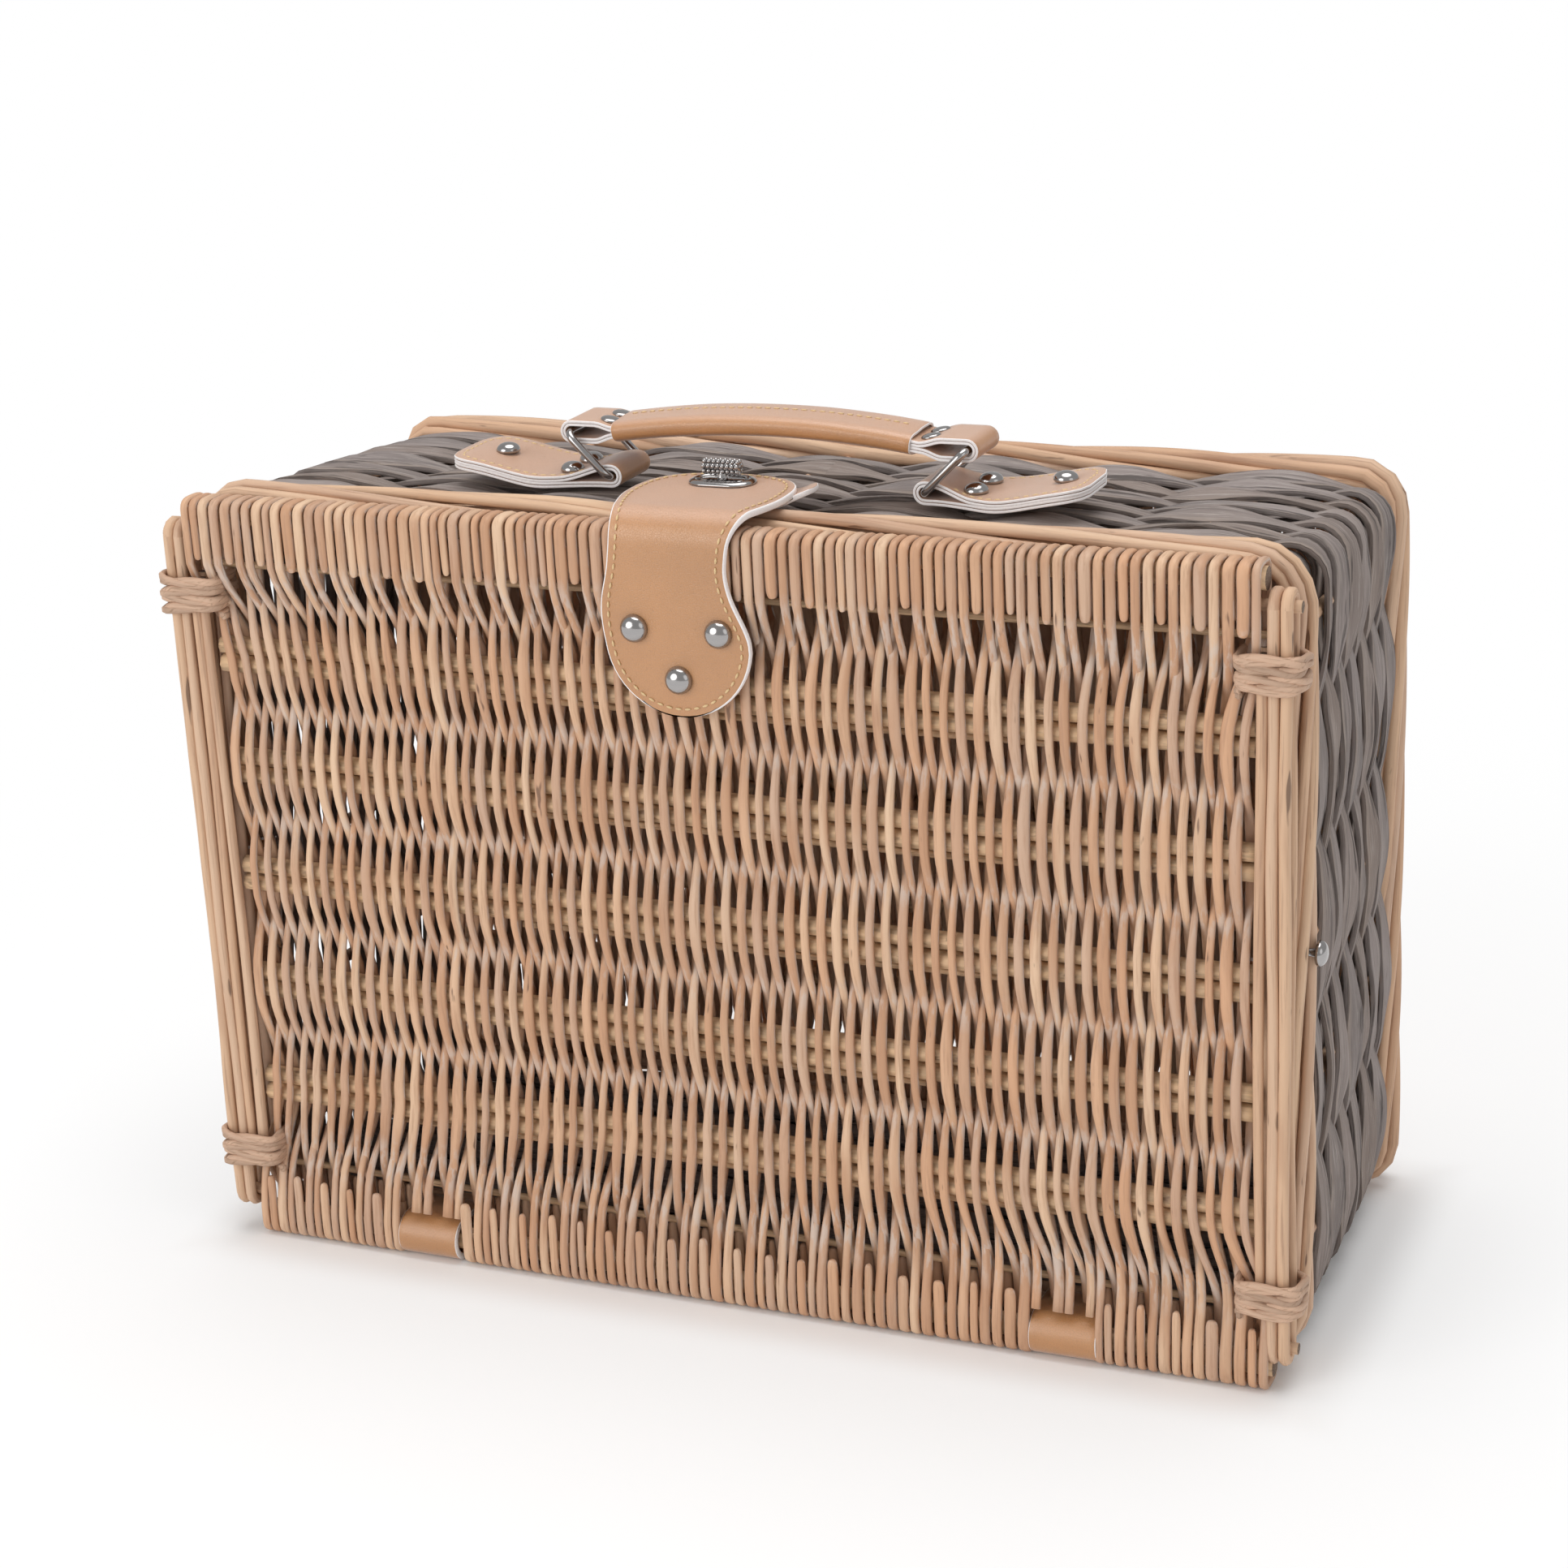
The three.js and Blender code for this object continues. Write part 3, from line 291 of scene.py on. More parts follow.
def tube(path, sizes, across, sides=8, closed=False, rolls=None, cap=0, power=1.0, wears=None):
    """Rod along a path. A size is the half width, in the direction across, and the half thickness."""
    count = len(path)
    turns = [2 * math.pi * j / sides for j in range(sides)]
    wheel = [(squared(math.cos(a), power), squared(math.sin(a), power)) for a in turns]
    rings = []
    run = 0.0
    for i, point in enumerate(path):
        before = path[i - 1] if i or closed else point
        after = path[(i + 1) % count] if i + 1 < count or closed else point
        run += (point - before).length if i else 0
        tangent = (after - before).normalized()
        side = (across - tangent * across.dot(tangent)).normalized()
        normal = tangent.cross(side)
        if rolls:
            c, s = math.cos(rolls[i]), math.sin(rolls[i])
            side, normal = side * c + normal * s, normal * c - side * s
        side, normal = side * sizes[i][0], normal * sizes[i][1]
        rings.append([point + side * c + normal * s for c, s in wheel])
    rows = count if closed else count - 1
    part = sheet_of(rows, sides, lambda i, j: rings[i % count][j % sides], run / 1000, wears=wears)
    return close(part, cap)


def look_along(part, face, way):
    """Turns a sheet over unless that face of it looks along way."""
    part.normal_update()
    if face.normal.dot(way) < 0:
        bmesh.ops.reverse_faces(part, faces=part.faces)


def thicken(part, thickness, bevel=0.25, pale=True):
    """Thickens a sheet behind its faces. Cut edges, and if pale their corners, have the second finish."""
    outer = set(part.verts)
    bmesh.ops.solidify(part, geom=part.faces[:], thickness=thickness)
    rims = {f for f in part.faces if 0 < sum(v in outer for v in f.verts) < len(f.verts)}
    for face in rims:
        face.material_index = 1
    corners = [e for e in part.edges if sum(f in rims for f in e.link_faces) == 1]
    soft = bmesh.ops.bevel(part, geom=corners, offset=min(bevel, thickness * 0.3), offset_type="OFFSET",
                           segments=2, profile=0.5, affect="EDGES", material=-1)
    for face in soft["faces"] if pale else ():
        face.material_index = 1
    bmesh.ops.recalc_face_normals(part, faces=part.faces)
    return part


def turned(profile, steps=24):
    """Solid turned about z from a profile of radius and height that starts and ends on the axis."""
    part = new_part()
    line = [part.verts.new((r, 0, h)) for r, h in profile]
    edges = [part.edges.new(pair) for pair in zip(line, line[1:])]
    bmesh.ops.spin(part, geom=line + edges, axis=Z, cent=(0, 0, 0), angle=2 * math.pi,
                   steps=steps, use_merge=True)
    bmesh.ops.remove_doubles(part, verts=part.verts, dist=1e-4)
    bmesh.ops.recalc_face_normals(part, faces=part.faces)
    return part


def dome(radius, height, brim=0.7, sunk=0.3, steps=8):
    """Rivet head with a rolled brim, standing on z = 0 and sunk a little below it."""
    profile = [(0, -sunk), (radius * 0.9, -sunk), (radius, brim * 0.4)]
    for i in range(1, steps + 1):
        turn = math.pi / 2 * i / steps
        profile.append((radius * math.cos(turn) ** 0.9 if i < steps else 0,
                        brim * 0.5 + (height - brim * 0.5) * math.sin(turn)))
    return turned(profile)


def bead(size, place, turn=None, rows=4, columns=6):
    """Small rounded grain: a stitch or a knurl."""
    part = new_part()
    bmesh.ops.create_uvsphere(part, u_segments=columns, v_segments=rows, radius=1, calc_uvs=True)
    bmesh.ops.scale(part, vec=size, verts=part.verts)
    if turn:
        bmesh.ops.transform(part, matrix=turn, verts=part.verts)
    bmesh.ops.translate(part, vec=place, verts=part.verts)
    return part


def turned_to(axis, spot, part):
    """Moves a part from standing on z = 0 to standing on spot, along axis."""
    turn = Vector(axis).to_track_quat("Z", "Y").to_matrix().to_4x4()
    bmesh.ops.transform(part, matrix=Matrix.Translation(spot) @ turn, verts=part.verts)
    return part


def stitch_row(points, normals, leather_size, height=0.3):
    """Stitches along a line of points on a surface with those normals."""
    pitch = mm(leather_size.stitch_pitch)
    size = (mm(leather_size.stitch_length) / 2, mm(leather_size.stitch_width) / 2, height)
    way, stitches = 0.0, []
    target = pitch / 2
    for i in range(len(points) - 1):
        gap = (points[i + 1] - points[i]).length
        while target <= way + gap:
            t = (target - way) / gap
            along = (points[i + 1] - points[i]).normalized()
            up = normals[i].lerp(normals[i + 1], t).normalized()
            side = up.cross(along).normalized()
            turn = Matrix((along, side, along.cross(side))).transposed().to_4x4()
            stitches.append(bead(size, points[i].lerp(points[i + 1], t), turn))
            target += pitch
        way += gap
    return stitches


class Shape:
    """Piece under way, in millimetres, made of one or more parts."""

    def __init__(self):
        self.mesh = new_part()

    def add(self, part, tone=0.5, crisp=False, bloom=False):
        """Takes in a part and frees it. Crisp parts keep sharp corners; those with a painted sheen store a
        painted sheen on their upward faces.
        """
        layer = part.verts.layers.float["tone"]
        wear = part.verts.layers.float["wear"]
        part.normal_update()
        for v in part.verts:
            v[layer] = tone
            # Painted sheen: the more a face looks up, the paler the leather finish paints it.
            if bloom:
                v[wear] = smooth((v.normal.z - 0.45) / 0.5)
        for edge in part.edges if crisp else ():
            edge.smooth = edge.calc_face_angle(0) < 0.6
        for face in part.faces:
            face.smooth = True
        mesh = bpy.data.meshes.new("part")
        part.to_mesh(mesh)
        part.free()
        self.mesh.from_mesh(mesh)
        bpy.data.meshes.remove(mesh)
        return self

    def place(self, name, slot, *finishes):
        """Finishes the piece as an object in the packed frame."""
        bmesh.ops.scale(self.mesh, vec=(0.001, 0.001, 0.001), verts=self.mesh.verts)
        bmesh.ops.translate(self.mesh, vec=Y * FRONT, verts=self.mesh.verts)
        mesh = bpy.data.meshes.new(name)
        self.mesh.to_mesh(mesh)
        self.mesh.free()
        for finish in finishes:
            mesh.materials.append(finish)
        piece = bpy.data.objects.new(name, mesh)
        bpy.context.scene.collection.objects.link(piece)
        return piece


def ride(piece, body, *nodes):
    """Lets a piece move with a body and stand for the packed parts that it covers."""
    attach(piece, body)
    if nodes:
        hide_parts(*nodes)


def metres(x, y, z):
    """A place in millimetres as a point of the packed frame."""
    return (x / 1000, FRONT + y / 1000, z / 1000)


# Finishes

class Shade:
    """Socket of a finish that takes part in sums."""

    def __init__(self, finish, socket):
        self.finish = finish
        self.socket = socket

    def _math(self, operation, first, second):
        return self.finish.node("ShaderNodeMath", {"operation": operation}, {0: first, 1: second})

    def __add__(self, other):
        return self._math("ADD", self, other)

    def __radd__(self, other):
        return self._math("ADD", other, self)

    def __sub__(self, other):
        return self._math("SUBTRACT", self, other)

    def __rsub__(self, other):
        return self._math("SUBTRACT", other, self)

    def __mul__(self, other):
        return self._math("MULTIPLY", self, other)

    def __rmul__(self, other):
        return self._math("MULTIPLY", other, self)

    def __pow__(self, other):
        return self._math("POWER", self, other)


class Finish:
    """Material whose nodes are made from sums."""

    def __init__(self, name):
        self.material = bpy.data.materials.new(name)
        self.material.use_nodes = True
        self.tree = self.material.node_tree
        self.shader = self.tree.nodes["Principled BSDF"]

    def node(self, kind, settings, values, output=0):
        """Adds a node, sets it up, then fills or links its sockets. Gives one of its outputs."""
        node = self.tree.nodes.new(kind)
        for key, value in settings.items():
            if key == "stops":
                ramp = node.color_ramp.elements
                while len(ramp) < len(value):
                    ramp.new(0.5)
                for stop, (place, shade) in zip(ramp, value):
                    stop.position = place
                    stop.color = shade
            else:
                setattr(node, key, value)
        for key, value in values.items():
            self.feed(node.inputs[key], value)
        return Shade(self, node.outputs[output])

    def feed(self, socket, value):
        if isinstance(value, Shade):
            self.tree.links.new(value.socket, socket)
        else:
            socket.default_value = value

    def surface(self, **values):
        """Fills the shader's sockets, with _ for a space in their names."""
        for key, value in values.items():
            self.feed(self.shader.inputs[key.replace("_", " ")], value)

    def mix(self, share, first, second):
        return self.node("ShaderNodeMix", {"data_type": "RGBA"}, {0: share, 6: first, 7: second}, 2)

    def ramp(self, share, *stops):
        return self.node("ShaderNodeValToRGB", {"stops": stops}, {0: share})

    def step(self, value, low, high):
        """Zero below low, one above high, and even between."""
        limits = {"Value": value, "From Min": low, "From Max": high}
        return self.node("ShaderNodeMapRange", {"interpolation_type": "SMOOTHSTEP"}, limits)

    def absolute(self, value):
        return self.node("ShaderNodeMath", {"operation": "ABSOLUTE"}, {0: value})

    def rims(self, across, power):
        """One along the two edges of a strip and zero between them. A high power makes them narrow."""
        turn = across * (2 * math.pi) + math.pi / 2
        return self.absolute(self.node("ShaderNodeMath", {"operation": "SINE"}, {0: turn})) ** power

    def own(self, name):
        """Stored value of a shape: its tone, by chance, or its wear and sheen, one where a weaver is split or
        where leather faces up and gets a painted sheen.
        """
        return self.node("ShaderNodeAttribute", {"attribute_name": name}, {}, "Fac")

    def rod(self):
        """Metres along a rod or strip, the share of the way round it, and its tone."""
        uv = self.node("ShaderNodeUVMap", {"uv_map": "UVMap"}, {})
        parts = self.tree.nodes.new("ShaderNodeSeparateXYZ")
        self.feed(parts.inputs[0], uv)
        return Shade(self, parts.outputs[0]), Shade(self, parts.outputs[1]), self.own("tone")

    def point(self, x, y, z):
        return self.node("ShaderNodeCombineXYZ", {}, {0: x, 1: y, 2: z})

    def fibre(self, rod, waves, detail, roughness=0.55):
        """Noise with so many waves a metre along, round the rod and from rod to rod."""
        place = self.point(*[value * share for value, share in zip(rod, waves)])
        return self.grain(place, 1, detail, roughness)

    def object_point(self):
        return self.node("ShaderNodeTexCoord", {}, {}, "Object")

    def grain(self, place, scale, detail, roughness=0.55):
        values = {"Vector": place, "Scale": scale, "Detail": detail, "Roughness": roughness}
        return self.node("ShaderNodeTexNoise", {}, values)

    def cells(self, place, scale):
        """Distance from the edges of small cells."""
        settings = {"feature": "DISTANCE_TO_EDGE"}
        return self.node("ShaderNodeTexVoronoi", settings, {"Vector": place, "Scale": scale})

    def bump(self, height, strength, depth):
        """Relief of that depth in metres."""
        values = {"Height": height, "Strength": strength, "Distance": depth}
        return self.node("ShaderNodeBump", {}, values)


def paint(shade, share=1.0):
    """Screen colour as the light of a shader, made darker or lighter by a share."""
    light = [c / 12.92 if c <= 0.04045 else ((c + 0.055) / 1.055) ** 2.4 for c in shade]
    return (*[min(c * share, 1.0) for c in light], 1)


def screen(red, green, blue):
    return paint((red / 255, green / 255, blue / 255))


FINISHES = {}


def finish(name):
    """Makes one material of that name with the function below it, and keeps it."""
    def kept(make):
        def material():
            if name not in FINISHES:
                FINISHES[name] = Finish(name)
                make(FINISHES[name], bpy.context.scene.hamper_colours)
            return FINISHES[name].material
        return material
    return kept


@finish("willow_weavers")
def willow(f, shades):
    """Split willow weavers, each of its own tone, with grain, knots, a pale film at the edges and painted
    shade along them.
    """
    rod = f.rod()
    _, v, tone = rod
    streaks = f.fibre(rod, (55, 9, 37), 4, 0.6)
    clouds = f.fibre(rod, (16, 1.2, 91), 2)
    knots = f.step(f.fibre(rod, (70, 3.5, 53), 2), 0.70, 0.78)
    base = f.ramp(tone, (0.0, paint(shades.willow_warm)), (0.35, paint(shades.willow_pale)),
                  (0.62, paint(shades.willow_grey)), (1.0, paint(shades.willow_warm, 0.9)))
    stained = f.mix(f.step(clouds, 0.42, 0.72), base, screen(190, 145, 112))
    grained = f.mix(f.step(streaks, 0.45, 0.75) * 0.55, stained, screen(166, 124, 96))
    edge = f.rims(v, 10)
    film = edge * f.step(f.fibre(rod, (90, 2, 17), 3), 0.45, 0.6)
    # Painted shade: both edges of a weaver are darkened, where neighbouring weavers shade each other.
    edged = f.mix(edge * 0.35, grained, screen(140, 104, 80))
    split = f.step(f.fibre(rod, (150, 5, 61), 3), 0.44, 0.62) * f.own("wear")
    filmed = f.mix(film * 0.75 + split * 0.6, edged, screen(206, 194, 184))
    f.surface(Base_Color=f.mix(knots * 0.75, filmed, screen(92, 62, 44)),
              Roughness=0.46 + streaks * 0.2,
              Normal=f.bump(streaks * 0.6 + clouds * 0.8 - knots * 0.5, 0.5, 0.0004))


@finish("willow_rods")
def rod_willow(f, shades):
    """Round willow rods of the rim, the border and the sides."""
    rod = f.rod()
    tone = rod[-1]
    streaks = f.fibre(rod, (30, 12, 41), 4, 0.62)
    clouds = f.fibre(rod, (13, 2, 77), 3)
    knots = f.step(f.fibre(rod, (45, 4, 29), 2), 0.69, 0.76)
    base = f.ramp(tone, (0.0, screen(204, 164, 132)), (0.5, screen(216, 182, 150)),
                  (1.0, screen(200, 166, 142)))
    stained = f.mix(f.step(clouds, 0.45, 0.72) * 0.8, base, screen(180, 140, 112))
    grained = f.mix(f.step(streaks, 0.5, 0.74) * 0.6, stained, screen(150, 114, 92))
    f.surface(Base_Color=f.mix(knots * 0.7, grained, screen(84, 60, 46)),
              Roughness=0.48 + streaks * 0.2,
              Normal=f.bump(streaks * 0.6 + clouds - knots * 0.6, 0.5, 0.0005))


@finish("knotty_sticks")
def stick(f, shades):
    """Knotty brown sticks inside the lid and the base."""
    rod = f.rod()
    streaks = f.fibre(rod, (40, 8, 31), 4)
    spots = f.fibre(rod, (95, 5, 67), 3)
    # The stick colour holds painted light: it is lighter than the wood's own, to offset the shade inside the
    # lid.
    base = f.mix(f.step(streaks, 0.35, 0.7), paint(shades.stick), paint(shades.stick, 0.62))
    pale = f.mix(f.step(spots, 0.55, 0.68) * 0.8, base, screen(214, 178, 136))
    dark = f.mix(f.step(1 - spots, 0.6, 0.72) * 0.7, pale, screen(104, 74, 54))
    f.surface(Base_Color=dark, Roughness=0.5 + spots * 0.15,
              Normal=f.bump(spots + streaks * 0.5, 0.6, 0.0005))


@finish("cut_ends")
def cut_end(f, shades):
    """Grey cut ends of the sticks, with rings."""
    place = f.object_point()
    rings = f.grain(place, 1600, 3)
    f.surface(Base_Color=f.mix(f.step(rings, 0.35, 0.65), screen(92, 76, 66), screen(138, 116, 98)),
              Roughness=0.85, Normal=f.bump(rings, 0.5, 0.0003))


@finish("chip_wood")
def chip_wood(f, shades):
    """Weathered chip strips with long grain and worn pale edges."""
    rod = f.rod()
    _, v, tone = rod
    lines = f.fibre(rod, (16, 26, 43), 5, 0.68)
    fine = f.fibre(rod, (60, 120, 19), 3)
    clouds = f.fibre(rod, (20, 3, 83), 3)
    base = f.mix(f.step(clouds, 0.3, 0.7), paint(shades.chip, 1.12), paint(shades.chip, 0.72))
    toned = f.mix(f.step(tone, 0.35, 0.75) * 0.7, base, screen(136, 120, 110))
    lined = f.mix(f.step(lines, 0.5, 0.74) * 0.75, toned, screen(86, 77, 74))
    worn = f.mix(f.step(1 - lines, 0.56, 0.7) * 0.45, lined, screen(182, 172, 166))
    edge = f.rims(v, 14)
    specks = f.step(fine, 0.58, 0.68) * 0.65
    edged = f.mix(edge * f.step(clouds, 0.4, 0.6) * 0.7, worn, screen(158, 142, 130))
    streaks = f.fibre(rod, (22, 8, 29), 4, 0.6)
    splits = f.step(streaks, 0.58, 0.66)
    faded = f.mix(f.step(1 - streaks, 0.56, 0.72) * 0.5, f.mix(specks, edged, screen(190, 182, 176)),
                  screen(176, 164, 156))
    split = f.mix(splits * 0.75, faded, screen(60, 52, 49))
    f.surface(Base_Color=split, Roughness=0.8 + fine * 0.15,
              Normal=f.bump(lines + fine * 0.35 - splits * 0.5, 0.9, 0.0009))


@finish("camel_leather")
def leather(f, shades):
    """Camel leather with a fine grain, a waxy sheen, and a painted sheen that makes its upward faces paler."""
    place = f.object_point()
    clouds = f.grain(place, 26, 3)
    pores = f.cells(place, 1150)
    fine = f.grain(place, 900, 3)
    base = f.mix(f.step(clouds, 0.35, 0.7), paint(shades.leather), paint(shades.leather, 0.86))
    # Painted sheen: faces that look up are mixed towards a pale pink, standing in for reflected light.
    with_painted_sheen = f.mix(f.own("wear") * 0.35, base, screen(226, 190, 172))
    f.surface(Base_Color=f.mix(f.step(1 - pores, 0.93, 0.99) * 0.35, with_painted_sheen, paint(shades.leather, 0.6)),
              Roughness=0.3 + fine * 0.14, Specular_IOR_Level=1.0,
              Normal=f.bump(f.step(pores, 0.0, 0.12) * 0.5 + fine * 0.6, 0.35, 0.00022),
              Sheen_Weight=0.45, Sheen_Roughness=0.35)


@finish("leather_edge")
def leather_edge(f, shades):
    """Pale cut edges of the leather."""
    fibres = f.grain(f.object_point(), 1500, 4, 0.7)
    f.surface(Base_Color=f.mix(f.step(fibres, 0.45, 0.8), paint(shades.edge), paint(shades.edge, 0.86)),
              Roughness=0.8, Normal=f.bump(fibres, 0.5, 0.0003))


@finish("thread")
def thread(f, shades):
    """Waxed stitching thread."""
    lay = f.grain(f.object_point(), 2600, 2)
    f.surface(Base_Color=f.mix(lay, paint(shades.thread), paint(shades.thread, 0.72)),
              Roughness=0.6, Normal=f.bump(lay, 0.4, 0.0002))


@finish("paper_cord")
def paper_cord(f, shades):
    """Twisted paper cord."""
    rod = f.rod()
    u, v, tone = rod
    lay = f.grain(f.point(u * 260, v * 9 + u * 300, tone * 23), 1, 3)
    clouds = f.fibre(rod, (40, 1, 7), 2)
    base = f.mix(f.step(clouds, 0.35, 0.7), paint(shades.cord, 1.1), paint(shades.cord, 0.75))
    f.surface(Base_Color=f.mix(f.step(lay, 0.5, 0.75) * 0.6, base, screen(120, 90, 62)),
              Roughness=0.62 + lay * 0.15, Normal=f.bump(lay, 0.6, 0.0004))


@finish("chrome")
def chrome(f, shades):
    """Bright plated metal."""
    haze = f.grain(f.object_point(), 420, 3)
    f.surface(Base_Color=paint(shades.chrome), Metallic=1.0, Roughness=0.1 + haze * 0.1)


# Woven panels

def weave_swing(z, levels):
    """How far a weaver stands forward at height z. A level is a height, a swing and a flat run."""
    if z <= levels[0][0]:
        return levels[0][1]
    for (z0, a0, p0), (z1, a1, p1) in zip(levels, levels[1:]):
        if z <= z1:
            t = min(max((z - z0 - p0) / (z1 - z0 - p0 - p1), 0.0), 1.0)
            return lerp(a0, a1, lerp(t, smooth(t), 0.4))
    return levels[-1][1]


def crossing(z, heights, flat=7, slope=15):
    """Zero at a pair of sticks and one halfway between two of them."""
    near = min(abs(z - h) for h in heights)
    return smooth((near - flat) / slope)


class HAMPER_OT_lid_weave(Operator):
    """Split weavers of the lid, round its sticks and over its two edges"""
    bl_idname = "hamper.lid_weave"
    bl_label = "Lid weave"

    def execute(self, context):
        size = context.scene.hamper_lid
        chance = random.Random(size.seed)
        pitch, thick = mm(size.weaver_pitch), mm(size.weaver_thickness) / 2
        count = 4 * round((LID_HALF - 5) / pitch / 2)
        first = -pitch * (count - 1) / 2
        edges = [wrap_places(3 * count // 4, chance) for _ in range(2)]
        halves = [Shape(), Shape()]
        for i in range(count):
            x = first + pitch * i
            weaver = Weaver(i, x, size, edges, chance)
            part = weaver.tube(thick)
            halves[x > 0].add(part, chance.random())
        for half, side in zip(halves, ("left", "right")):
            ride(half.place(f"lid_weavers_{side}", "willow", willow()), "lid", "lid_weave")
        return {"FINISHED"}


def wrap_places(count, chance):
    """Middle and half width of each wrap, side by side along an edge of the lid."""
    widths = [chance.uniform(0.78, 1.24) for _ in range(count)]
    share = 2 * EDGE_HALF / sum(widths)
    places, start = [], -EDGE_HALF
    for width in widths:
        places.append((start + width * share / 2, width * share / 2 * chance.uniform(0.8, 0.94)))
        start += width * share
    return places


class Weaver:
    """One split weaver of the lid. Kinds in turn: over the edge, front tail, over the edge, behind."""

    # Shares of the tail's length, each with the share of its width there.
    TAIL = ((0.3, 1.0), (0.6, 1.0), (0.85, 0.97), (0.94, 0.84), (0.985, 0.62), (1.0, 0.3))
    # How far a weaver stands off the lid's middle at its end sticks and at its pairs of sticks.
    WRAP_DEPTH, RISE = 6.7, 4.9
    # Half width and top of the space that a hinge loop takes, and the gap at the ends of a short weaver.
    LOOP_HALF, LOOP_TOP, SHORT = 13.6, 19.5, 9

    def __init__(self, index, x, size, edges, chance):
        self.index = index
        self.x = x
        self.size = size
        self.kind = ("over", "tail", "over", "short")[index % 4]
        self.front = 1 if self.kind in ("tail", "short") else -1
        self.width = mm(size.weaver_width) * chance.uniform(0.85, 1.17) / 2
        self.shares = [chance.uniform(0.86, 1.14) for _ in range(12)]
        self.tails = [chance.uniform(-2.0, 2.0) for _ in range(2)]
        wrap = 3 * (index // 4) + min(index % 4, 2)
        self.edges = [places[wrap] for places in edges]
        x, width = self.edges[1]
        lean = mm(size.lean) * (1 + 0.2 * x / EDGE_HALF)
        self.edges[1] = (x - lean, width)

    def cut_back(self):
        """True where the leather hinge loop takes the place of the weaver's lower end."""
        return abs(abs(self.edges[0][0]) - HINGE_OFFSET) < self.LOOP_HALF

    def levels(self):
        """Height, swing and flat run at each stick that the weaver passes."""
        swing = self.RISE * self.front
        turns = [(z, swing * (1 if k % 2 == 0 else -1), 6.5) for k, z in enumerate(PAIRS)]
        edge = self.WRAP_DEPTH * -self.front
        return [(LOW_AXIS, edge, 4), *turns, (LID_TOP, edge, 18)]

    def across(self, z):
        """Place along the lid at height z."""
        low, high = self.edges
        wander = mm(self.size.wander) * ripple(self.index * 3.71, z * 0.017, 1.3)
        top = smooth((z - PAIRS[-1] + 4) / 42)
        foot = smooth((PAIRS[0] + 4 - z) / 42)
        return lerp(lerp(self.x, high[0], top), low[0], foot) + wander * (1 - max(top, foot))

    def path(self):
        """Points of the middle line, each with the half width there and the share of the thickness."""
        levels = self.levels()
        start = self.LOOP_TOP if self.cut_back() else LOW_AXIS
        stop = LID_TOP
        if self.kind == "short":
            stop = LID_TOP - self.SHORT
            start = max(start, LOW_AXIS + self.SHORT)
        steps = round((stop - start) / 4.6)
        points = []
        for i in range(steps + 1):
            z = lerp(start, stop, i / steps)
            swing = weave_swing(z, levels)
            cross = crossing(z, [LOW_AXIS, *PAIRS, LID_TOP])
            k = min(range(5), key=lambda n: abs(PAIRS[n] - z))
            width = self.width * lerp(self.shares[k], 0.8, cross)
            edge = smooth((abs(z - PAIRS[2]) - 105) / 36)
            width = lerp(width, self.edges[z > PAIRS[2]][1], edge)
            points.append((Vector((self.across(z), LID_MIDDLE - swing, z)), width, 1.0))
        if self.kind != "short":
            points += self.wrap(LID_TOP, 1, 5.4)
            if not self.cut_back():
                points = self.wrap(LOW_AXIS, -1, 7.0)[::-1] + points
        return points

    def wrap(self, axis, up, rise):
        """Square-shouldered turn over an end stick and the blunt tail beyond it."""
        x, width = self.edges[up > 0]
        forward = -self.front
        turn = []
        for i in range(1, 13):
            a = math.pi * i / 12
            y = LID_MIDDLE - forward * self.WRAP_DEPTH * squared(math.cos(a), 0.55)
            turn.append((Vector((x, y, axis + up * rise * squared(math.sin(a), 0.55))), width, 1.0))
        tail = mm(self.size.tail) + self.tails[up > 0]
        for t, share in self.TAIL:
            drift = 0.5 * ripple(self.index * 1.7, axis, t)
            y = LID_MIDDLE + forward * (self.WRAP_DEPTH - 0.5 * t)
            spot = Vector((x + drift * t, y, axis - up * tail * t))
            turn.append((spot, width * share, lerp(0.5, 1.0, share)))
        return turn

    def tube(self, thick):
        """The weaver as a flattened rod, split and worn between the sticks."""
        points = self.path()
        sizes, rolls, wears = [], [], []
        for point, width, share in points:
            near = min(abs(point.z - h) for h in PAIRS)
            wears.append(smooth((near - 13) / 9) * smooth((42 - near) / 10))
            rough = 1 + 0.06 * ripple(self.index * 5.1, point.z * 0.06, 4.2)
            sizes.append((width * rough, thick * rough * share))
            rolls.append(0.2 * ripple(self.index * 2.3, point.z * 0.02, 9.1))
        return tube([p for p, _, _ in points], sizes, X, 8, rolls=rolls, power=0.8, wears=wears)


def straight_rod(start, end, radius, seed, across, bend, step=6.0, sides=8):
    """Round stick with small bends, bumps and cut ends."""
    start, end = Vector(start), Vector(end)
    count = max(4, round((end - start).length / step))
    other = across.cross((end - start).normalized())
    path, sizes = [], []
    for i in range(count + 1):
        t = i / count
        sway = across * ripple(seed * 3.3, t * 4, 0.7) + other * ripple(seed * 3.3, t * 4, 5.7)
        path.append(start.lerp(end, t) + sway * bend)
        swell = 1 + 0.05 * ripple(seed, t * 22, 2.2)
        sizes.append((radius * swell, radius * swell))
    return tube(path, sizes, across, sides, cap=1)


def level_rod(start, end, y, z, radius, seed, bend, step=6.0, sides=8):
    """Round stick along x, from start to end."""
    return straight_rod((start, y, z), (end, y, z), radius, seed, Y, bend, step, sides)


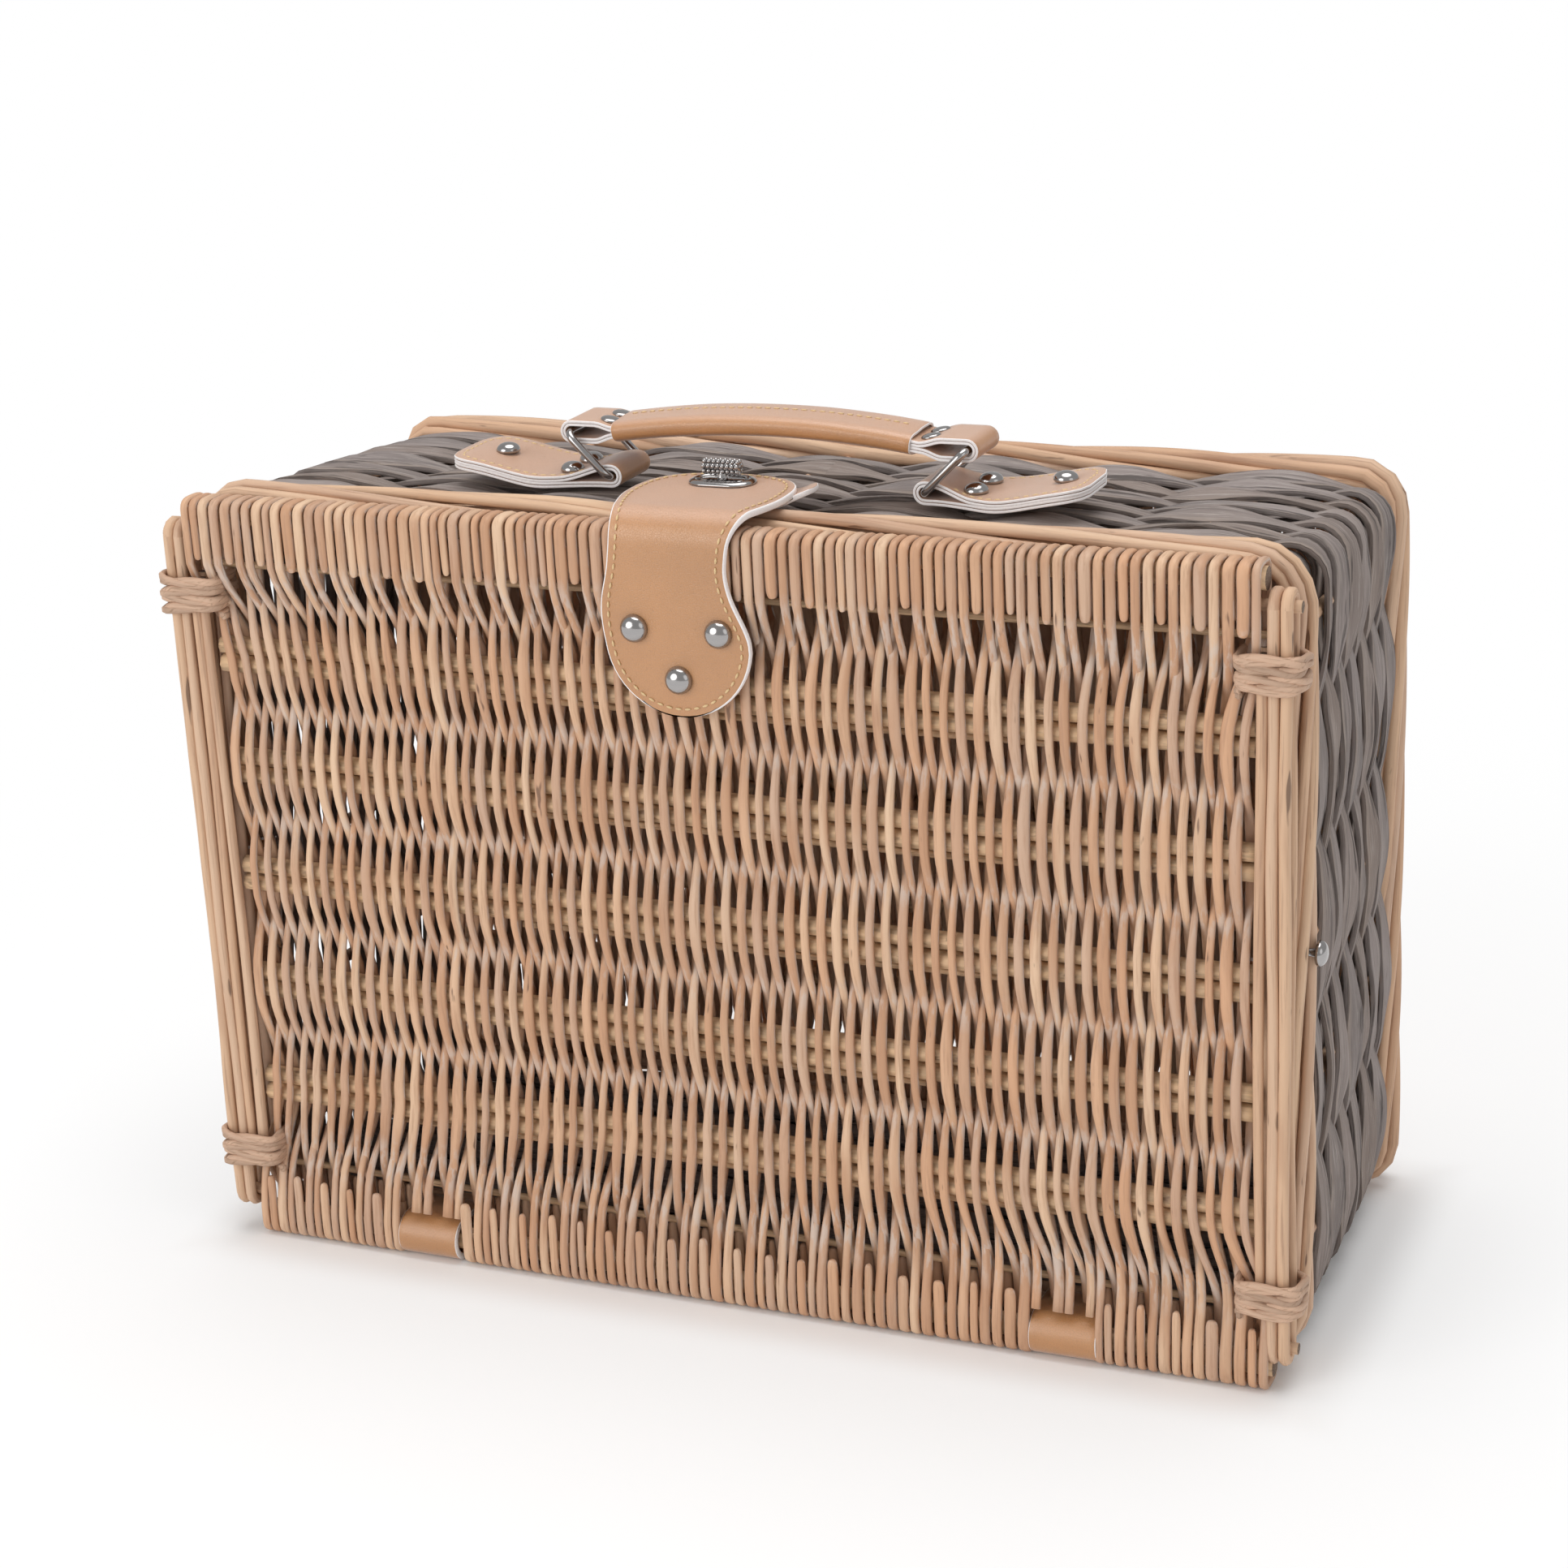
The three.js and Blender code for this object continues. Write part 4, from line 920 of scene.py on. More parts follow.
class HAMPER_OT_lid_sticks(Operator):
    """Pairs of sticks, thin rods and end sticks of the lid"""
    bl_idname = "hamper.lid_sticks"
    bl_label = "Lid sticks"

    def execute(self, context):
        chance = random.Random(3)
        thin, reach = 1.4, LID_HALF - 4.3
        shape = Shape()
        for k, z in enumerate(PAIRS):
            for side in (-1, 1):
                seed = k * 2 + side * 0.5 + 9
                rod = level_rod(-reach, reach, LID_MIDDLE, z + side * PAIR_HALF, PAIR_HALF, seed, 0.15)
                shape.add(rod, chance.random())
            start = (chance.uniform(-190, -60), LID_MIDDLE + 0.4, z - 8.6)
            end = (chance.uniform(40, 190), LID_MIDDLE + 0.4, z - 8.4)
            shape.add(straight_rod(start, end, thin, k + 31, Y, 0.5), chance.random())
        reach = LID_HALF - 1
        for z in (LID_TOP - 20.5, LOW_AXIS + 20.5):
            rod = level_rod(-reach, reach, LID_MIDDLE + 3.4, z, thin, z, 0.6)
            shape.add(rod, chance.random())
        piece = shape.place("lid_sticks", "willow_dark", stick(), cut_end())
        ride(piece, "lid", *[f"lid_stick_{n}{c}" for n in range(1, 6) for c in "ab"])
        lean = mm(context.scene.hamper_lid.lean)
        for node, shift, z in (("lid_end_stick_top", lean, LID_TOP), ("lid_end_stick_bottom", 0, LOW_AXIS)):
            low, high = span(node)
            mid = middle(node)
            rod = level_rod(low.x - shift * 0.8, high.x - shift * 1.2, mid.y, z, 4.2, mid.z, 0.1, 6, 16)
            piece = Shape().add(rod, 0.4).place(node + "_rod", "willow_dark", stick(), cut_end())
            ride(piece, "lid", node)
        return {"FINISHED"}


class HAMPER_OT_side_rods(Operator):
    """Rods along the two sides of the lid, bent over short stubs"""
    bl_idname = "hamper.side_rods"
    bl_label = "Lid side rods"

    # Distances of the bent rods and of the inner rods from the lid's middle, on each side.
    BUNDLES = {"left": ((217.4, 213.0), (208.6, 204.2)), "right": ((212.4, 208.0), (203.6,))}
    # Radius of a bent rod, and its distance from the middle of the lid's thickness.
    ROD, DEPTH = 2.2, 4.5

    def execute(self, context):
        ends = (LOW_AXIS + 8, TOP_AXIS - 10.5)
        for side, name in SIDES:
            loops, rods = self.BUNDLES[name]
            shape = Shape()
            for k, x in enumerate(loops):
                path = self.loop(x, k, ends, side)
                swells = [1 + 0.07 * ripple(k * 5.5, i * 0.3, side) for i in range(len(path))]
                sizes = [(self.ROD * swell, self.ROD * swell) for swell in swells]
                shape.add(tube(path, sizes, X, 10, closed=True), 0.3 + 0.4 * k)
            for z in ends:
                start, end = side * (loops[1] - 6), side * (loops[0] + 4.2)
                shape.add(level_rod(start, end, LID_MIDDLE, z, self.ROD, z + side, 0.05, 3, 10), 0.3)
            for k, x in enumerate(rods):
                for deep in (-self.DEPTH, 4.1):
                    shape.add(self.inner(k, x, deep, side), 0.25 + 0.5 * k + 0.02 * deep)
            piece = shape.place(f"lid_side_rods_{name}_bundle", "willow", rod_willow(), cut_end())
            ride(piece, "lid", f"lid_side_rods_{name}")
        return {"FINISHED"}

    def loop(self, x, k, ends, side):
        """Long rod bent over both stubs, down the front and up the back."""
        low, high = ends
        count = 34
        front = [(LID_MIDDLE - self.DEPTH, lerp(high, low, i / count)) for i in range(count + 1)]
        back = [(2 * LID_MIDDLE - y, z) for y, z in front[::-1]]
        top = arc(LID_MIDDLE, high, self.DEPTH, 0, 180, 6)[1:-1]
        foot = arc(LID_MIDDLE, low, self.DEPTH, 180, 360, 6)[1:-1]
        path = []
        for y, z in [*front, *foot, *back, *top]:
            free = smooth((z - low) / 40) * smooth((high - z) / 40)
            sway = 1.5 * free * ripple(z * 0.012 + k * 7.3, y * 0.2, side)
            deep = 1.0 * free * ripple(z * 0.014 + k * 3.7, y * 0.2, side + 4)
            path.append(Vector((side * (x + sway), y + deep, z)))
        return path

    def inner(self, k, x, deep, side):
        """Thinner rod from lashing to lashing, between the loops and the weave."""
        path, sizes = [], []
        steps = 40
        for i in range(steps + 1):
            t = i / steps
            z = lerp(LOW_AXIS + 24, TOP_AXIS - 26, t)
            sway = 0.7 * math.sin(2 * math.pi * (t * 0.8 + k / 3) + side + deep)
            path.append(Vector((side * (x + sway), LID_MIDDLE + deep, z)))
            swell = 2.1 * lerp(1.06, 0.85, t if k else 1 - t)
            sizes.append((swell, swell))
        return tube(path, sizes, X, 8, cap=1)


class HAMPER_OT_lashings(Operator):
    """Twisted cord that ties the side rods to the weave"""
    bl_idname = "hamper.lashings"
    bl_label = "Lashings"

    # Ends of the windings along the lid, and how much lower the upper ones hang than their solids.
    ENDS = {"left": (-223.2, -195.5), "right": (194.2, 219.2)}
    HANG = {"bottom": 0.0, "top": 3.5}

    def execute(self, context):
        for level, hang in self.HANG.items():
            for side, name in SIDES:
                node = f"lashing_{level}_{name}"
                shape = Shape()
                low, high = span(node)
                low.x, high.x = self.ENDS[name]
                low.z -= hang
                high.z -= hang
                for strand in range(2):
                    shape.add(self.strand(low, high, side, strand), 0.3 + 0.4 * strand)
                ride(shape.place(node + "_cord", "paper_cord", paper_cord()), "lid", node)
        return {"FINISHED"}

    def strand(self, low, high, side, strand):
        """One of the two twisted strands of the cord, wound round the rods between two corners."""
        mid = (low + high) / 2
        half_x, half_y = (high.x - low.x) / 2 - 1.6, (high.y - low.y) / 2 + 0.5
        turns, steps, power = 4.3, 84, 0.42
        path = []
        run = 0.0
        for i in range(round(turns * steps)):
            t = i / steps
            a = 2 * math.pi * t + math.pi / 2
            c, s = math.cos(a), math.sin(a)
            slant = 1.6 * c * math.sin(3.3 * t + side)
            z = lerp(high.z - 2.0, low.z + 2.0, t / turns) + slant
            y = mid.y + half_y * squared(s, power)
            centre = Vector((mid.x + side * half_x * squared(c, power), y, z))
            run += (centre - path[-1][0]).length if path else 0
            path.append((centre, run))
        rods = []
        for i, (centre, way) in enumerate(path):
            ahead = path[min(i + 1, len(path) - 1)][0] - path[max(i - 1, 0)][0]
            tangent = ahead.normalized()
            out = (Z - tangent * tangent.z).normalized()
            other = tangent.cross(out)
            lay = 2 * math.pi * way / 34 + math.pi * strand
            rods.append(centre + out * (0.95 * math.cos(lay)) + other * (0.4 * math.sin(lay)))
        sizes = [(1.5, 1.3)] * len(rods)
        return tube(rods, sizes, Z, 6)


# Walls

# Depth of the middle of the rim and of the base border.
WALL_FRONT, WALL_BACK = 25.45, 178.86
# Half width, foot and top of the walls' middle surface, each at the rim and at the base.
WALL_HALF, WALL_FOOT, WALL_TOP = (211.2, 207.5), (9.75, 6.6), (298.9, 288.9)
WALL_CORNER = 17.0
# Number of stakes, and how far left of the top's middle the first stands, as a share of their distance.
STAKES, STAKE_SHIFT = 24, 0.12
# How often the rods of a border wind round each other on their way round the walls.
TWISTS = 4


def wall_frame(y, turn, r=WALL_CORNER):
    """Point and outward direction on the wall's middle surface: turns run right from the top middle."""
    t = (y - WALL_FRONT) / (WALL_BACK - WALL_FRONT)
    half, low, high = (lerp(*ends, t) for ends in (WALL_HALF, WALL_FOOT, WALL_TOP))
    bend = math.pi * r / 2
    wide, tall = 2 * (half - r), high - low - 2 * r
    whole = 2 * (wide + tall) + 4 * bend
    way = (turn % 1.0) * whole
    runs = [(wide / 2, (0, high), (1, 0)), (bend, (half - r, high - r), 90),
            (tall, (half, high - r), (0, -1)), (bend, (half - r, low + r), 0),
            (wide, (half - r, low), (-1, 0)), (bend, (r - half, low + r), -90),
            (tall, (-half, low + r), (0, 1)), (bend, (r - half, high - r), 180),
            (wide / 2, (r - half, high), (1, 0))]
    for run, (x, z), way_out in runs:
        if way > run:
            way -= run
            continue
        if isinstance(way_out, tuple):
            dx, dz = way_out
            return x + dx * way, z + dz * way, -dz, dx
        a = math.radians(way_out) - way / r
        return x + r * math.cos(a), z + r * math.sin(a), math.cos(a), math.sin(a)
    return 0.0, high, 0.0, 1.0


def wall_point(y, turn, out, r=WALL_CORNER):
    """Place at a distance out from the wall's middle surface."""
    x, z, nx, nz = wall_frame(y, turn, r)
    return Vector((x + nx * out, y, z + nz * out))


def hinge_pinch(turn, y):
    """One at the leather hinge loops and zero away from them."""
    point = wall_point(y, turn, 0)
    if point.z > 40:
        return 0.0
    return smooth(1 - (abs(abs(point.x) - HINGE_OFFSET) - 11) / 16)


def border_rods(count, radius, depth, spread, lift, rise, corner, chance, pinched=False):
    """Rods that wind round each other along an edge of the walls, higher by a rise along the top."""
    shape = Shape()
    steps = 250
    for k in range(count):
        path, sizes = [], []
        offset = chance.uniform(-0.2, 0.2)
        stout = radius * chance.uniform(0.88, 1.1)
        for i in range(steps):
            turn = i / steps
            sway = 0.08 * ripple(k * 9.1, math.cos(2 * math.pi * turn) * 3, math.sin(2 * math.pi * turn) * 3)
            a = 2 * math.pi * (TWISTS * turn + k / count + sway) + offset
            pinch = hinge_pinch(turn, depth) if pinched else 0.0
            reach = 1 - 0.5 * pinch
            y = depth + spread[0] * math.cos(a) * reach
            above = rise * max(wall_frame(y, turn, corner)[3], 0) ** 2
            path.append(wall_point(y, turn, lift + above + spread[1] * math.sin(a) * reach, corner))
            swell = stout * (1 - 0.25 * pinch) * (1 + 0.07 * ripple(k * 4.3, i * 0.11, 1.1))
            sizes.append((swell, swell))
        shape.add(tube(path, sizes, Y, 10, closed=True), chance.random())
    return shape


class HAMPER_OT_rim(Operator):
    """Twisted rods of the rim"""
    bl_idname = "hamper.rim"
    bl_label = "Rim"

    def execute(self, context):
        radius = mm(context.scene.hamper_walls.rim_rod)
        shape = border_rods(5, radius, WALL_FRONT, (5.7, 3.7), 0.5, 2.0, 16.0, random.Random(21), True)
        ride(shape.place("rim_rods", "willow", rod_willow()), "basket", "rim_border")
        return {"FINISHED"}


class HAMPER_OT_base_border(Operator):
    """Twisted rods of the base border"""
    bl_idname = "hamper.base_border"
    bl_label = "Base border"

    def execute(self, context):
        radius = mm(context.scene.hamper_walls.border_rod)
        shape = border_rods(6, radius, WALL_BACK, (8.7, 4.2), -0.5, 3.0, 12.0, random.Random(22))
        ride(shape.place("base_border_rods", "willow", rod_willow()), "basket", "base_border")
        return {"FINISHED"}


class HAMPER_OT_stakes(Operator):
    """Stakes of the walls and the hoop that they stand on"""
    bl_idname = "hamper.stakes"
    bl_label = "Stakes"

    def execute(self, context):
        low, high = span("stake_frame")
        hoop_y, hoop_radius, steps = low.y + 2.8, 2.7, 160
        shape = Shape()
        hoop = [wall_point(hoop_y, i / steps, 0) for i in range(steps)]
        shape.add(tube(hoop, [(hoop_radius, hoop_radius)] * steps, Y, 8, closed=True), 0.4)
        for k in range(STAKES):
            turn = (k - STAKE_SHIFT) / STAKES
            start, end = wall_point(hoop_y, turn, 0), wall_point(high.y + 4, turn, 0)
            across = Z if abs(start.x) > 200 else X
            shape.add(straight_rod(start, end, 2.4, k * 1.9, across, 0.2, 8), (k * 0.37) % 1)
        ride(shape.place("wall_stakes", "willow", rod_willow(), cut_end()), "basket", "stake_frame")
        return {"FINISHED"}


class HAMPER_OT_wall_bands(Operator):
    """Chip strips that run in and out of the stakes, turn and turn about"""
    bl_idname = "hamper.wall_bands"
    bl_label = "Wall bands"

    def execute(self, context):
        size = context.scene.hamper_walls
        chance = random.Random(size.seed)
        nodes = [f"wall_band_{n}" for n in range(1, 6)]
        front, back = span(nodes[0])[0].y, span(nodes[-1])[1].y
        shapes = [Shape() for _ in nodes]
        for strip in range(size.strips):
            band = int((strip + 0.5) / size.strips * len(nodes))
            shapes[band].add(self.strip(size, strip, front, back), chance.random(), crisp=True)
        for node, shape in zip(nodes, shapes):
            ride(shape.place(node + "_chips", "chip_wood", chip_wood()), "basket", node)
        return {"FINISHED"}

    def strip(self, size, index, front, back):
        """One strip round the walls: narrower between its bows, and tilted by chance where it bows out."""
        steps = 480
        face = [(y, 1.0) for y in (-0.97, -0.4, 0.4, 0.97)]
        back_face = [(y, -n) for y, n in face[::-1]]
        section = [*face, (1.0, 0.6), (1.0, -0.6), *back_face, (-1.0, -0.6), (-1.0, 0.6)]
        sides = len(section)
        side = 1 if index % 2 else -1
        pitch = (back - front) / size.strips
        thick, corner = mm(size.chip_thickness) / 2, mm(size.chip_corner)
        rings = []
        for i in range(steps):
            turn = i / steps
            c, s = math.cos(2 * math.pi * turn) * 4, math.sin(2 * math.pi * turn) * 4
            wander = ripple(index * 2.9, c, s)
            wave = side * math.cos(math.pi * (STAKES * turn + STAKE_SHIFT + 0.12 * wander))
            bow = smooth(wave)
            depth = front + pitch * (index + 0.5) + 0.7 * ripple(index * 3.7, c * 2, s * 2)
            wide = mm(size.chip_width) / 2 * lerp(lerp(0.82, 1.0, bow), 1.06, smooth(-wave))
            wide *= 1 + 0.07 * ripple(index * 5.3, c * 3, s * 3)
            swing = mm(size.chip_swing) * (1 + 0.14 * ripple(index * 1.1, c * 3, s * 3))
            centre = swing * squared(wave, 0.85)
            tilt = 0.3 + bow * (2.6 * ripple(index * 7.7, c * 1.6, s * 1.6) - 0.5)
            tilt = min(max(tilt, -1.9), 1.2)
            rings.append([wall_point(depth + y * wide, turn, centre + thick * n - tilt * y, corner)
                          for y, n in section])
        part = sheet_of(steps, sides, lambda i, j: rings[i % steps][j % sides], 1.36)
        return close(part)


class HAMPER_OT_base_panel(Operator):
    """Woven base and its sticks"""
    bl_idname = "hamper.base_panel"
    bl_label = "Base panel"

    def execute(self, context):
        low, high = span("base_weave")
        mid = (low + high) / 2
        heights = [middle(f"base_stick_pair_{n}").z for n in range(5, 0, -1)]
        chance = random.Random(17)
        halves = [Shape(), Shape()]
        count = 4 * round((high.x - low.x - 4) / 3.2 / 4)
        pitch = (high.x - low.x - 4) / count
        for i in range(count):
            x = low.x + 2 + pitch * (i + 0.5)
            weaver = self.weaver(i, x, pitch, low, high, mid.y, heights, chance)
            halves[x > 0].add(weaver, chance.random())
        for half, side in zip(halves, ("left", "right")):
            ride(half.place(f"base_weavers_{side}", "willow", willow()), "basket", "base_weave")
        shape = Shape()
        for k, z in enumerate(heights):
            for side in (-1, 1):
                seed = k + side * 0.3 + 50
                rod = level_rod(low.x + 1, high.x - 1, mid.y, z + side * PAIR_HALF, 3.75, seed, 0.1)
                shape.add(rod, chance.random())
        piece = shape.place("base_sticks", "willow_dark", stick(), cut_end())
        ride(piece, "basket", *[f"base_stick_pair_{n}" for n in range(1, 6)])
        return {"FINISHED"}

    def weaver(self, index, x, pitch, low, high, y, heights, chance):
        """Weaver of the base at x, one of two side by side that spread between the sticks."""
        swing, corner = (4.8 if index // 2 % 2 else -4.8), 19
        turns = [(z, swing * (1 if k % 2 == 0 else -1), 6.5) for k, z in enumerate(heights)]
        levels = [(low.z, 0.0, 1), *turns, (high.z, 0.0, 1)]
        into = max(0.0, abs(x) - (high.x - corner))
        inset = corner - math.sqrt(max(0.0, corner ** 2 - into ** 2))
        start, stop = low.z + 1 + inset, high.z - 1 - inset
        wide = 2.0 * chance.uniform(0.97, 1.1)
        steps = round((stop - start) / 5.5)
        path, sizes = [], []
        for i in range(steps + 1):
            z = lerp(start, stop, i / steps)
            near = min(abs(z - h) for h in heights)
            spread = smooth((near - 1) / 5) * smooth((22 - near) / 8)
            beside = (0.5 if index % 2 else -0.5) * pitch * 0.5 * spread
            wander = 0.3 * ripple(index // 2 * 0.7, z * 0.017, 8.8)
            path.append(Vector((x + beside + wander, y - weave_swing(z, levels), z)))
            share = lerp(1.0, 0.92, crossing(z, heights)) * (1 + 0.5 * spread)
            sizes.append((wide * share, 1.12))
        return tube(path, sizes, X, 6)


# Leather and metal

def band_sheet(line, half_width, middle_y, offset, thickness, columns=10, flip=1):
    """Leather strip along a profile of x and z, whose half width goes by x."""
    count = len(line) - 1
    run = sum((b - a).length for a, b in zip(line, line[1:]))

    def corner(i, j):
        a, b = line[max(i - 1, 0)], line[min(i + 1, count)]
        along = (b - a).normalized()
        inward = Vector((along.y, -along.x)) * flip
        spot = line[i] + inward * offset
        half = half_width(line[i].x)
        return Vector((spot.x, middle_y + half * (2 * j / columns - 1), spot.y))

    part = sheet_of(count, columns, corner, run / 1000, 0.04)
    along = (line[1] - line[0]).normalized()
    look_along(part, part.faces[:][0], Vector((-along.y, 0, along.x)) * flip)
    return thicken(part, thickness)


def mirrored(part, side):
    """Mirrors a part of the handle's right end where side is the left one."""
    if side < 0:
        bmesh.ops.scale(part, vec=(-1, 1, 1), verts=part.verts)
        bmesh.ops.translate(part, vec=(2 * HANDLE.x, 0, 0), verts=part.verts)
        bmesh.ops.reverse_faces(part, faces=part.faces)
    return part


# Half the distance between the two round ends of the eyelet, the lock plate and the knob's hole.
LOCK_REACH = 4.8


class HAMPER_OT_closure_strap(Operator):
    """Leather strap from the front of the lid over its top edge to the lock, with stitches and rivets"""
    bl_idname = "hamper.closure_strap"
    bl_label = "Closure strap"

    # The waist's half width, its shift to the left, and where along the strap the shift starts and ends.
    WAIST, WAIST_SHIFT, WAIST_START, WAIST_END = 22.75, 3.6, 24, 82

    def execute(self, context):
        size = context.scene.hamper_leather
        self.measure()
        strap = Shape().add(self.sheet(mm(size.strap_thickness)), bloom=True)
        strap = strap.place("closure_strap_leather", "leather", leather(), leather_edge())
        seam = Shape()
        row = self.seam(mm(size.stitch_inset))
        points = [self.spot(s, x, 0.25) for s, x in row]
        normals = [self.spot(s, x, 1) - self.spot(s, x, 0) for s, x in row]
        for part in stitch_row(points, normals, size, 0.4):
            seam.add(part)
        seam = seam.place("closure_strap_stitches", "leather", thread())
        for piece in (strap, seam):
            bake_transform(piece, "lid", "tongue", start=metres(0, 2.5, self.top), end=metres(0, 19, self.top))
        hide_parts("closure_strap", "strap_tongue")
        for name in ("left", "right", "low"):
            node = f"strap_rivet_{name}"
            mid = middle(node)
            shape = Shape().add(turned_to(-Y, (mid.x, self.face, mid.z), dome(5.2, 4.4)))
            ride(shape.place(node + "_dome", "chrome", chrome()), "lid", node)
        return {"FINISHED"}

    def measure(self):
        """Sizes of the strap from its packed parts: s runs from its lower tip to the end of the tongue."""
        low, high = span("closure_strap")
        tongue_low, tongue_high = span("strap_tongue")
        self.face = low.y
        self.radius = LID_MIDDLE - self.face
        self.top = TOP_AXIS + self.radius
        self.lobe = (high.x - low.x) / 2
        self.tongue_lobe = (tongue_high.x - tongue_low.x) / 2
        self.drop = TOP_AXIS - low.z
        self.bend = math.pi / 2 * self.radius
        self.whole = self.drop + self.bend + tongue_high.y - LID_MIDDLE

    def half(self, s, inset=0.0):
        """Half width of the strap at s from its lower tip, with the edge drawn in by inset."""
        lobe, end = self.lobe, self.tongue_lobe
        turn = self.whole - end
        if s < lobe:
            return math.sqrt(max(0.0, (lobe - inset) ** 2 - (lobe - s) ** 2))
        if s > turn:
            way = min((s - turn) / (end - inset), 1.0)
            return (end - inset) * (1 - way ** 3) ** 0.42
        if s < 2 * lobe:
            return lerp(lobe, self.WAIST, smooth((s - lobe) / lobe)) - inset
        return lerp(self.WAIST, end, smooth((s - 2 * lobe - 4) / (turn - 2 * lobe - 4))) - inset

    def centre(self, s):
        """Middle of the strap at s: the waist is cut further in on the right."""
        share = smooth((s - self.WAIST_START) / 22) * smooth((self.WAIST_END - s) / 34)
        return STRAP_MIDDLE - self.WAIST_SHIFT * share

    def spot(self, s, x, lift=0.0):
        """Place on the outer face, lifted off it."""
        if s < self.drop:
            return Vector((x, self.face - lift, TOP_AXIS - self.drop + s))
        if s < self.drop + self.bend:
            a = math.pi - (s - self.drop) / self.radius
            r = self.radius + lift
            return Vector((x, LID_MIDDLE + r * math.cos(a), TOP_AXIS + r * math.sin(a)))
        return Vector((x, LID_MIDDLE + s - self.drop - self.bend, self.top + lift))

    def rows(self):
        """Places of the rows of the strap's mesh, closer together at both ends."""
        lobe, end = self.lobe, self.tongue_lobe
        steps = 14
        angles = [math.pi / 2 * i / steps for i in range(steps + 1)]
        start = [lobe * (1 - math.cos(a)) for a in angles[:-1]]
        turn = self.whole - end
        count = round((turn - lobe) / 2)
        straight = [lerp(lobe, turn, i / count) for i in range(count)]
        stop = [turn + end * math.sin(a) for a in angles]
        return start + straight + stop

    def sheet(self, thickness):
        rows = self.rows()
        columns = 26

        def corner(i, j):
            u = 2 * j / columns - 1
            return self.spot(rows[i], self.centre(rows[i]) + u * self.half(rows[i]))

        part = sheet_of(len(rows) - 1, columns, corner, self.whole / 1000, 0.05)
        bmesh.ops.remove_doubles(part, verts=part.verts, dist=1e-4)
        self.slot(part)
        look_along(part, min(part.faces, key=lambda f: f.calc_center_median().z), -Y)
        return thicken(part, thickness, 0.6)

    def slot(self, part):
        """Cuts the hole for the knob, under the eyelet's flange."""
        radius = 5.2

        def inside(point):
            reach = max(0.0, abs(point.x - LOCK.x) - LOCK_REACH)
            return math.hypot(reach, point.y - LOCK.y) < radius and point.z > self.top - 1

        hole = [f for f in part.faces if inside(f.calc_center_median())]
        bmesh.ops.delete(part, geom=hole, context="FACES")

    def seam(self, inset):
        """Stitches down the left edge, round the lower lobe, up the right and round the tongue's end."""
        rows = self.rows()
        centre = self.lobe
        last = self.whole - self.tongue_lobe
        inner = self.lobe - inset
        outer = self.tongue_lobe - inset
        front = [(centre - inner * math.cos(math.radians(a)), -inner * math.sin(math.radians(a)))
                 for a in range(-90, 91, 5)]
        straight = [s for s in rows if centre < s < last]
        right = [(s, self.half(s, inset)) for s in straight]
        tip = [(last + outer * math.sin(math.radians(a)), math.radians(90 - a)) for a in range(0, 181, 4)]
        tip = [(s, math.copysign(self.half(s, inset), side)) for s, side in tip]
        left = [(s, -x) for s, x in right]
        line = left[::-1] + front[::-1] + right + tip
        return [(s, self.centre(s) + x) for s, x in line]


